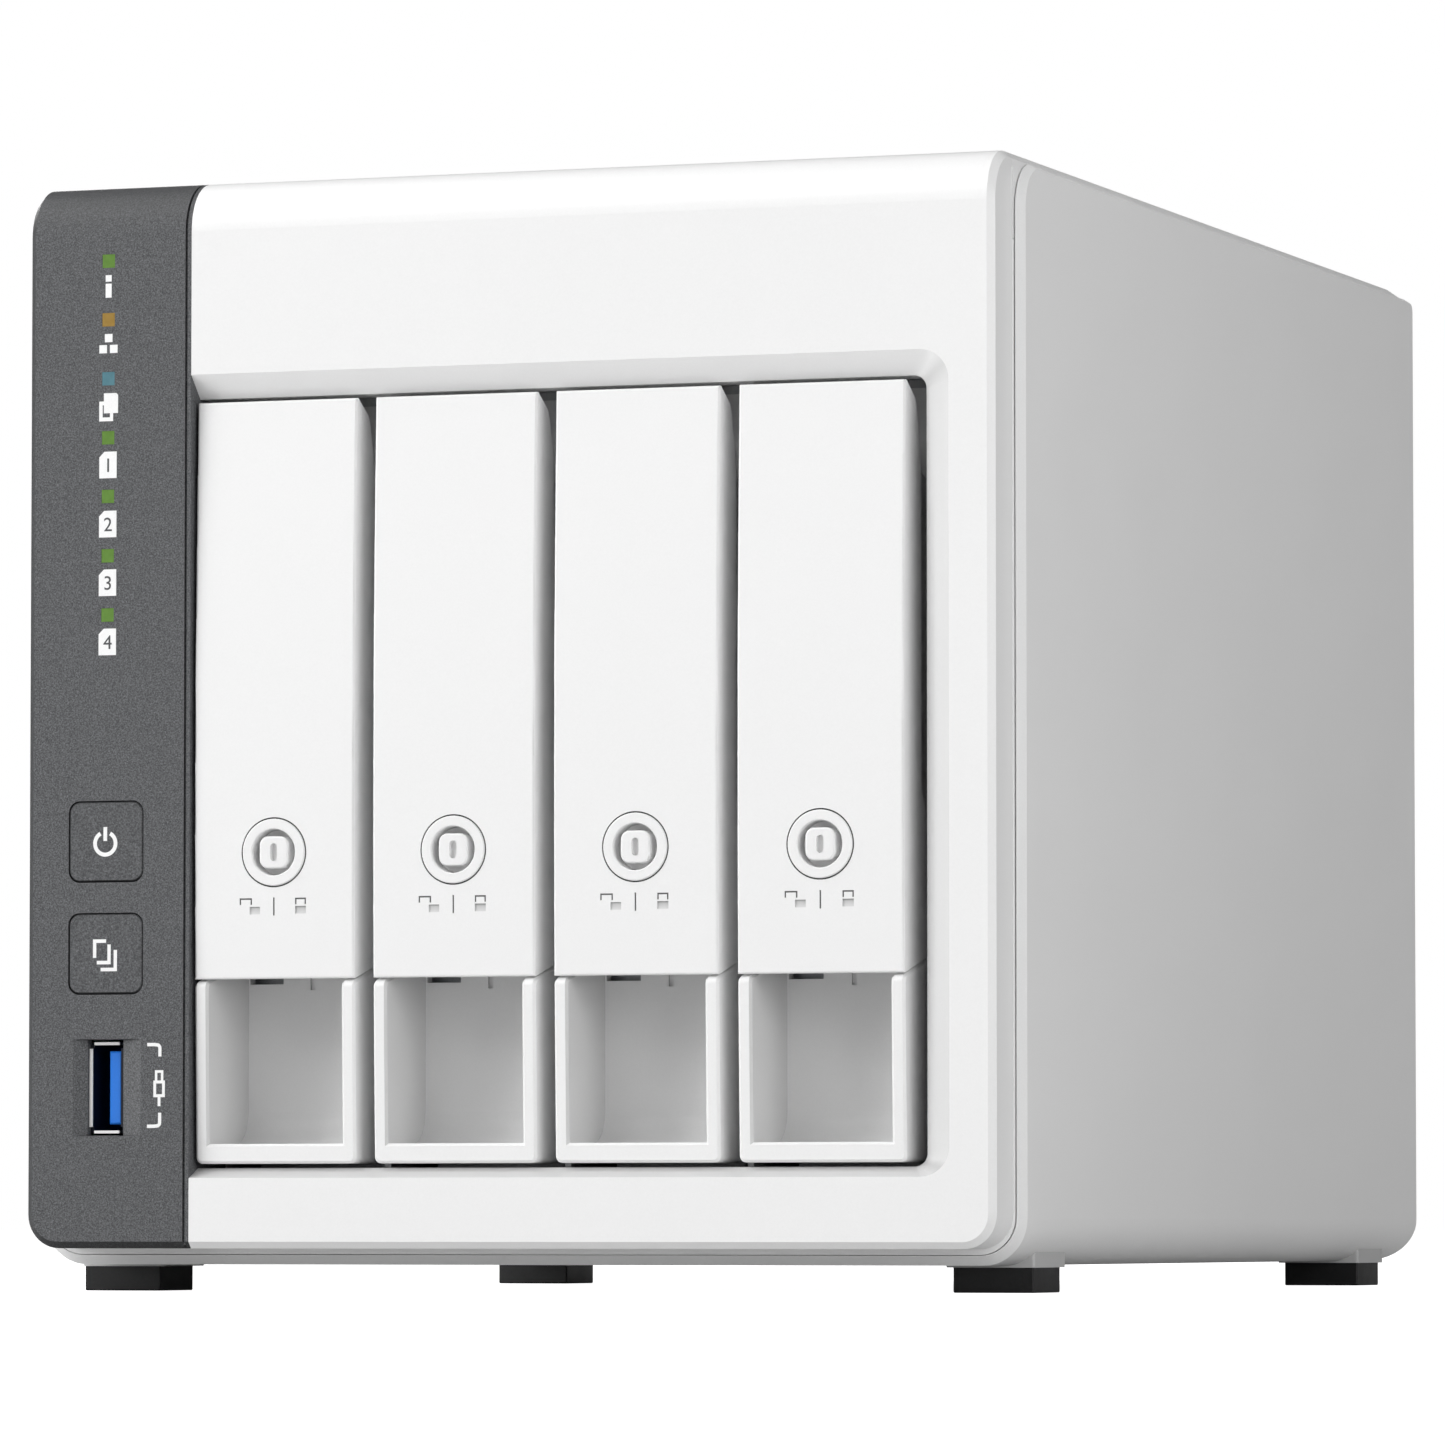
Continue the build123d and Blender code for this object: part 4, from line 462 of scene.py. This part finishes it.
# painted shade: faces turned to -X (the opening's right bevel) and upward faces below 30 mm (the bottom bevel) darkened
# to 0.80; painted light: downward faces between 130 and 150 mm (the top bevel) brightened to 1.10
M["bezel"] = moulded("mat_front_bezel", WHITE, rough=0.30, painted_shading_terms=[
    ("X", -0.30, -0.50, 0.80, []),
    ("Z", 0.30, 0.50, 0.80, [("Z", 0.0, 0.030)]),
    ("Z", -0.30, -0.50, 1.10, [("Z", 0.130, 0.150)])])
# painted shade: faces turned to +X in the left half of each handle pocket (front 19 mm, 18 to 50 mm up) darkened to
# 0.76
M["tray"] = moulded("mat_tray_white", (0.85, 0.85, 0.85, 1.0), rough=0.44, painted_shading_terms=[
    ("X", 0.30, 0.60, 0.76, [("Y", -0.113, -0.094), ("Z", 0.018, 0.050), (bay_offset, -0.0132, 0.0)])])
M["coat"] = powder_coat("mat_shell_powder_coat", (0.84, 0.84, 0.84, 1.0))
M["panel"] = flecked("mat_dark_panel", lin(87, 88, 90), scale=4400.0, var=0.70, fleck=2.0)
M["button"] = flecked("mat_button", lin(85, 86, 88), scale=3800.0, var=0.62, fleck=2.0)
M["pad"] = moulded("mat_foot_pad", (0.50, 0.50, 0.50, 1.0), rough=0.5)
M["foot"] = rubber("mat_foot_rubber", lin(26, 26, 27), rough=0.42)
M["green"] = lens("mat_lens_green", lin(90, 130, 44))
M["amber"] = lens("mat_lens_amber", lin(150, 118, 44))
M["blue"] = lens("mat_lens_blue", lin(76, 122, 134))
M["usb_blue"] = moulded("mat_usb_blue", lin(38, 122, 224), rough=0.34, grain=2600.0, var=0.04)
M["steel"] = metal("mat_plated_steel", (0.86, 0.87, 0.88, 1.0), rough=0.24, stretch=(1, 0.15, 1))
M["zinc"] = metal("mat_zinc_sheet", (0.60, 0.61, 0.62, 1.0), rough=0.42, spangle=160.0)
M["screw"] = metal("mat_screw", (0.62, 0.62, 0.63, 1.0), rough=0.30, scale=2400.0)
M["black"] = moulded("mat_black_plastic", lin(34, 34, 36), rough=0.42, grain=2600.0, var=0.10, bump=0.2)
M["chip"] = moulded("mat_chip_epoxy", lin(38, 38, 41), rough=0.55, grain=4200.0, var=0.18, bump=0.25)
M["alu"] = metal("mat_heat_sink", (0.56, 0.57, 0.59, 1.0), rough=0.36, stretch=(1, 0.1, 1))
M["drive"] = metal("mat_drive_casting", (0.50, 0.51, 0.53, 1.0), rough=0.46, scale=1500.0, bump=0.18)
M["rear"] = powder_coat("mat_rear_panel", lin(196, 197, 199), rough=0.5)
M["fan"] = moulded("mat_fan_plastic", lin(30, 30, 32), rough=0.36, grain=1800.0, var=0.10, bump=0.15)
M["board_xz"] = circuit_board("mat_board_xz", "XZ")
M["board_xy"] = circuit_board("mat_board_xy", "XY")
M["board_yz"] = circuit_board("mat_board_yz", "YZ")
M["jack"] = jack("mat_network_jack", REAR_FACE - 0.0007)
M["label"] = drive_label("mat_drive_label")
M["handle"] = handle_paint("mat_tray_handle", (0.85, 0.85, 0.85, 1.0))
M["socket"] = socket_shell("mat_socket_shell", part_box("usb_front_shell"))
M["ink"] = ink("mat_print_white", lin(244))
M["ink_dark"] = ink("mat_print_dark", lin(74, 75, 77))

USE = {
    "front_bezel": "bezel", "control_panel": "panel", "top_panel": "white", "main_shell": "coat",
    "foot_pads": "pad", "feet": "foot", "power_button": "button", "copy_button": "button",
    "led_windows_green": "green", "led_window_amber": "amber", "led_window_blue": "blue",
    "usb_front_shell": "socket", "usb_front_tongue": "usb_blue", "front_io_board": "board_xz",
    "front_board_components": "chip", "drive_cage": "zinc", "backplane_board": "board_xz",
    "sata_connectors": "black", "mainboard": "board_xy", "board_chips": "chip", "memory_module": "board_xz",
    "heat_sink": "alu", "board_screws": "screw", "cage_screws": "screw", "lan_ports": "jack",
    "rear_usb_shells": "steel", "rear_usb_tongues": "usb_blue", "dc_inlet": "black", "reset_button": "black",
    "rear_panel": "rear", "rear_screws": "screw", "fan_frame": "fan", "fan_rotor": "fan",
    "fan_grille": "steel", "fan_screws": "screw",
}
for i in range(1, 5):
    USE[f"tray_{i}"] = "tray"
    USE[f"tray_handle_{i}"] = "handle"
    USE[f"handle_pin_{i}"] = "screw"
    USE[f"tray_lock_{i}"] = "white"
    USE[f"drive_{i}"] = "drive"
    USE[f"drive_screws_{i}"] = "screw"
for name, key in USE.items():
    mats = NODES[name].data.materials
    if len(mats) == 0:
        mats.append(M[key])
    for k in range(len(mats)):
        mats[k] = M[key]


# ------------------------------------------------------------------ drawing helpers
def finish_mesh(name, bm, mat, body):
    me = bpy.data.meshes.new(name)
    bm.normal_update()
    bm.to_mesh(me)
    bm.free()
    me.materials.append(mat)
    ob = bpy.data.objects.new(name, me)
    scene.collection.objects.link(ob)
    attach(ob, body)
    return ob


def add_plate(bm, pts, y_front, y_back):
    """Closed flat piece with outline pts (x, z) in millimetres, anticlockwise seen from the front."""
    area = sum(a[0] * b[1] - b[0] * a[1] for a, b in zip(pts, pts[1:] + pts[:1]))
    if area < 0:
        pts = pts[::-1]
    yf = y_front if callable(y_front) else (lambda z: y_front)
    yb = y_back if callable(y_back) else (lambda z: y_back)
    f = [bm.verts.new((x * MM, yf(z) * MM, z * MM)) for x, z in pts]
    b = [bm.verts.new((x * MM, yb(z) * MM, z * MM)) for x, z in pts]
    bm.faces.new(f)
    bm.faces.new(b[::-1])
    n = len(pts)
    for i in range(n):
        j = (i + 1) % n
        bm.faces.new((f[j], f[i], b[i], b[j]))


def ribbon(pts, w, closed=False):
    """Mitred outline of a stroke of width w along pts. Returns one outline, or two rings when closed."""
    n = len(pts)
    left, right = [], []
    for i in range(n):
        p = Vector(pts[i])
        if closed or 0 < i < n - 1:
            a = (p - Vector(pts[i - 1])).normalized()
            b = (Vector(pts[(i + 1) % n]) - p).normalized()
        elif i == 0:
            a = b = (Vector(pts[1]) - p).normalized()
        else:
            a = b = (p - Vector(pts[i - 1])).normalized()
        na, nb = Vector((-a.y, a.x)), Vector((-b.y, b.x))
        m = na + nb
        m = m / max(m.length_squared, 1e-9) * 2.0
        left.append(tuple(p + m * (w / 2)))
        right.append(tuple(p - m * (w / 2)))
    return left, right


def add_stroke(bm, pts, w, y_front, y_back, closed=False):
    left, right = ribbon(pts, w, closed)
    if not closed:
        add_plate(bm, left + right[::-1], y_front, y_back)
        return
    yf = y_front if callable(y_front) else (lambda z: y_front)
    yb = y_back if callable(y_back) else (lambda z: y_back)
    rings = []
    for ring in (left, right):
        rings.append(([bm.verts.new((x * MM, yf(z) * MM, z * MM)) for x, z in ring],
                      [bm.verts.new((x * MM, yb(z) * MM, z * MM)) for x, z in ring]))
    n = len(left)
    for i in range(n):
        j = (i + 1) % n
        (lf, lb), (rf, rb) = rings
        bm.faces.new((lf[i], lf[j], rf[j], rf[i]))
        bm.faces.new((lb[j], lb[i], rb[i], rb[j]))
        bm.faces.new((lf[j], lf[i], lb[i], lb[j]))
        bm.faces.new((rf[i], rf[j], rb[j], rb[i]))
    bmesh.ops.recalc_face_normals(bm, faces=bm.faces)


def rect(x, z, w, h):
    return [(x - w / 2, z - h / 2), (x + w / 2, z - h / 2), (x + w / 2, z + h / 2), (x - w / 2, z + h / 2)]


def arc(cx, cz, r, a0, a1, n):
    return [(cx + r * math.cos(math.radians(a0 + (a1 - a0) * i / n)),
             cz + r * math.sin(math.radians(a0 + (a1 - a0) * i / n))) for i in range(n + 1)]


def face_y(name):
    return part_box(name)[0].y / MM


# ------------------------------------------------------------------ printed marks on the control panel
YP = face_y("control_panel")
PF, PB = YP - 0.03, YP + 0.02
CX = -65.1
bm = bmesh.new()
add_plate(bm, rect(CX, 155.92, 1.0, 1.0), PF, PB)
add_plate(bm, rect(CX, 154.02, 1.0, 2.17), PF, PB)
finish_mesh("print_status_mark", bm, M["ink"], "chassis")
bm = bmesh.new()
for x, z in ((-65.06, 146.68), (-65.98, 144.98), (-64.20, 144.98)):
    add_plate(bm, rect(x, z, 1.28, 1.27), PF, PB)
finish_mesh("print_network_mark", bm, M["ink"], "chassis")
bm = bmesh.new()
add_plate(bm, [(-65.82, 138.15), (-65.82, 135.05), (-63.44, 135.05), (-63.44, 137.85), (-63.74, 138.15)], PF, PB)
add_plate(bm, [(-66.60, 133.82), (-64.27, 133.82), (-64.27, 135.05), (-64.80, 135.05), (-64.80, 134.42), (-66.02, 134.42),
               (-66.02, 136.30), (-65.82, 136.30), (-65.82, 136.90), (-66.60, 136.90)], PF, PB)
finish_mesh("print_copy_mark", bm, M["ink"], "chassis")
for i, z in enumerate((127.06, 117.93, 108.88, 99.75), 1):
    bm = bmesh.new()
    x0, x1, z0, z1 = CX - 1.46, CX + 1.46, z - 2.05, z + 2.05
    add_plate(bm, [(x0, z0), (x1, z0), (x1, z1), (x0 + 0.85, z1), (x0, z1 - 0.85)], PF, PB)
    finish_mesh(f"print_bay_tag_{i}", bm, M["ink"], "chassis")
    cu = bpy.data.curves.new(f"bay_number_{i}", "FONT")
    cu.body = str(i)
    cu.size = 3.05 * MM
    cu.extrude = 0.012 * MM
    cu.align_x, cu.align_y = "CENTER", "CENTER"
    tmp = bpy.data.objects.new("tmp_text", cu)
    scene.collection.objects.link(tmp)
    bpy.context.view_layer.update()
    me = bpy.data.meshes.new_from_object(tmp.evaluated_get(bpy.context.evaluated_depsgraph_get()))
    bpy.data.objects.remove(tmp)
    me.name = f"print_bay_number_{i}"
    xs = [v.co.x for v in me.vertices]
    ys = [v.co.y for v in me.vertices]
    mx, my = (min(xs) + max(xs)) / 2, (min(ys) + max(ys)) / 2
    for v in me.vertices:
        x, y, z_ = v.co
        v.co = ((CX + 0.04) * MM + (x - mx), (PF - 0.008) * MM - z_, (z - 0.05) * MM + (y - my))
    me.materials.clear()
    me.materials.append(M["ink_dark"])
    ob = bpy.data.objects.new(f"print_bay_number_{i}", me)
    scene.collection.objects.link(ob)
    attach(ob, "chassis")

# front socket label: two corner brackets round a plain plug pictogram
bm = bmesh.new()
add_stroke(bm, [(-58.15, 37.78), (-56.95, 37.78)] + arc(-56.62, 37.20, 0.58, 60, 0, 4) + [(-56.04, 35.95)], 0.52, PF, PB)
add_stroke(bm, [(-58.15, 25.28), (-56.95, 25.28)] + arc(-56.62, 25.86, 0.58, -60, 0, 4) + [(-56.04, 27.35)], 0.52, PF, PB)
finish_mesh("print_socket_brackets", bm, M["ink"], "chassis")
bm = bmesh.new()
add_stroke(bm, rect(-56.15, 31.00, 1.45, 2.10), 0.46, PF, PB, closed=True)
add_stroke(bm, [(-56.65, 32.28), (-56.65, 33.65), (-55.65, 33.65), (-55.65, 32.28)], 0.40, PF, PB)
add_stroke(bm, [(-56.15, 29.72), (-56.15, 28.35)], 0.46, PF, PB)
finish_mesh("print_plug_mark", bm, M["ink"], "chassis")

# ------------------------------------------------------------------ drives: own circuit board on one side, label on the other
def add_box(bm, x0, x1, y0, y1, z0, z1):
    v = [bm.verts.new((x * MM, y * MM, z * MM)) for x in (x0, x1) for y in (y0, y1) for z in (z0, z1)]
    for f in ((0, 1, 3, 2), (4, 6, 7, 5), (0, 4, 5, 1), (2, 3, 7, 6), (0, 2, 6, 4), (1, 5, 7, 3)):
        bm.faces.new([v[i] for i in f])


for i in range(1, 5):
    lo_d, hi_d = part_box(f"drive_{i}")
    x0, x1, y0, y1, z0, z1 = (c / MM for c in (lo_d.x, hi_d.x, lo_d.y, hi_d.y, lo_d.z, hi_d.z))
    bm = bmesh.new()
    add_box(bm, x0 + 1.0, x0 + 1.55, -29.4, y1 - 12.6, z0 + 6.6, z1 - 6.6)
    finish_mesh(f"drive_board_{i}", bm, M["board_yz"], f"tray_{i}")
    bm = bmesh.new()
    for yc, zc, wy, hz in ((-14.0, z0 + 30, 14, 14), (-12.0, z0 + 52, 9, 12), (8.0, z0 + 68, 8, 8), (16.0, z0 + 26, 6, 10),
                           (-20.0, z0 + 76, 6, 6), (22.0, z0 + 50, 5, 5), (4.0, z0 + 44, 4, 7), (6.0, z0 + 18, 5, 4)):
        add_box(bm, x0 + 0.25, x0 + 1.1, yc - wy / 2, yc + wy / 2, zc - hz / 2, zc + hz / 2)
    finish_mesh(f"drive_board_chips_{i}", bm, M["chip"], f"tray_{i}")
    bm = bmesh.new()
    add_box(bm, x1 - 0.02, x1 + 0.05, y0 + 22.0, y0 + 118.0, z0 + 18.0, z0 + 82.0)
    finish_mesh(f"drive_label_{i}", bm, M["label"], f"tray_{i}")

# ------------------------------------------------------------------ marks on the two push buttons
YB = face_y("power_button")
BF, BB = YB - 0.03, YB + 0.02
bm = bmesh.new()
add_stroke(bm, arc(-65.30, 68.72, 1.72, 118, 422, 44), 0.62, BF, BB)
add_stroke(bm, [(-65.30, 69.10), (-65.30, 71.25)], 0.62, BF, BB)
finish_mesh("print_power_mark", bm, M["ink"], "power_button")
YB = face_y("copy_button")
BF, BB = YB - 0.03, YB + 0.02
bm = bmesh.new()
add_stroke(bm, [(-67.02, 51.15), (-67.02, 53.72), (-65.10, 53.72)], 0.55, BF, BB)
add_stroke(bm, [(-64.60, 53.20), (-64.60, 50.42), (-66.65, 50.42)], 0.55, BF, BB)
add_stroke(bm, [(-63.55, 52.35), (-63.55, 49.35), (-66.00, 49.35)], 0.55, BF, BB)
finish_mesh("print_copy_button_mark", bm, M["ink"], "copy_button")

# ------------------------------------------------------------------ floor, world and lights
bm = bmesh.new()
s = 12.0
vs = [bm.verts.new((x, y, 0.0)) for x, y in ((-s, -s), (s, -s), (s, s), (-s, s))]
bm.faces.new(vs)
me = bpy.data.meshes.new("floor")
bm.to_mesh(me)
bm.free()
floor = bpy.data.objects.new("floor", me)
scene.collection.objects.link(floor)
fm = Mat("mat_floor")
fn = fm.noise(3.0, 4.0)
fm.set("Base Color", fm.ramp(fn, [(0.3, (0.55, 0.55, 0.55, 1)), (0.7, (0.57, 0.57, 0.57, 1))]))
fm.set("Roughness", 0.9)
fm.set("Specular IOR Level", 0.1)
glow = fm.node("ShaderNodeEmission")
path = fm.node("ShaderNodeLightPath")
fm.link(fm.math("MULTIPLY", path.outputs["Is Camera Ray"], 1.0), glow.inputs["Strength"])
addn = fm.node("ShaderNodeAddShader")
outn = next(n for n in fm.nt.nodes if n.type == "OUTPUT_MATERIAL")
fm.link(fm.bsdf.outputs[0], addn.inputs[0])
fm.link(glow.outputs[0], addn.inputs[1])
fm.link(addn.outputs[0], outn.inputs["Surface"])
me.materials.append(fm.m)

world = bpy.data.worlds.new("world")
scene.world = world
world.use_nodes = True
wt = world.node_tree
for n in list(wt.nodes):
    wt.nodes.remove(n)
w_out = wt.nodes.new("ShaderNodeOutputWorld")
w_light = wt.nodes.new("ShaderNodeBackground")
w_back = wt.nodes.new("ShaderNodeBackground")
w_mix = wt.nodes.new("ShaderNodeMixShader")
w_path = wt.nodes.new("ShaderNodeLightPath")
WORLD = 0.18
w_light.inputs["Color"].default_value = (1, 1, 1, 1)
w_light.inputs["Strength"].default_value = WORLD
w_back.inputs["Color"].default_value = (1, 1, 1, 1)
w_back.inputs["Strength"].default_value = 1.0
wt.links.new(w_path.outputs["Is Camera Ray"], w_mix.inputs[0])
wt.links.new(w_light.outputs[0], w_mix.inputs[1])
wt.links.new(w_back.outputs[0], w_mix.inputs[2])
wt.links.new(w_mix.outputs[0], w_out.inputs["Surface"])


def area(name, loc, target, size, power, spread=180.0):
    ld = bpy.data.lights.new(name, "AREA")
    ld.shape = "RECTANGLE"
    ld.size, ld.size_y = size
    ld.energy = power
    ld.spread = math.radians(spread)
    ob = bpy.data.objects.new(name, ld)
    scene.collection.objects.link(ob)
    ob.location = loc
    ob.rotation_mode = "QUATERNION"
    ob.rotation_quaternion = (Vector(target) - Vector(loc)).to_track_quat("-Z", "Y")
    ob.visible_camera = False
    return ob


area("key_high", (-0.55, -1.15, 1.10), (0, -0.1, 0.08), (0.9, 0.9), 5.9)
area("key_left", (-1.35, -0.95, 0.35), (0, -0.1, 0.08), (0.9, 0.9), 14.8)
area("side_front", (0.62, -0.52, 0.16), (0.08, -0.08, 0.09), (0.45, 0.55), 2.2)
area("side_far", (1.5, -0.6, 0.36), (0.08, -0.0, 0.08), (0.9, 0.8), 3.5)
area("top_strip", (-0.58, -0.25, 0.85), (0, -0.1, 0.168), (0.8, 0.5), 5.2)
area("top_fill", (0.30, 0.10, 0.90), (0.0, 0.0, 0.17), (0.5, 0.4), 0.8)
area("rear", (-1.1, 1.3, 0.38), (0, 0.1, 0.09), (0.7, 0.7), 13.0)
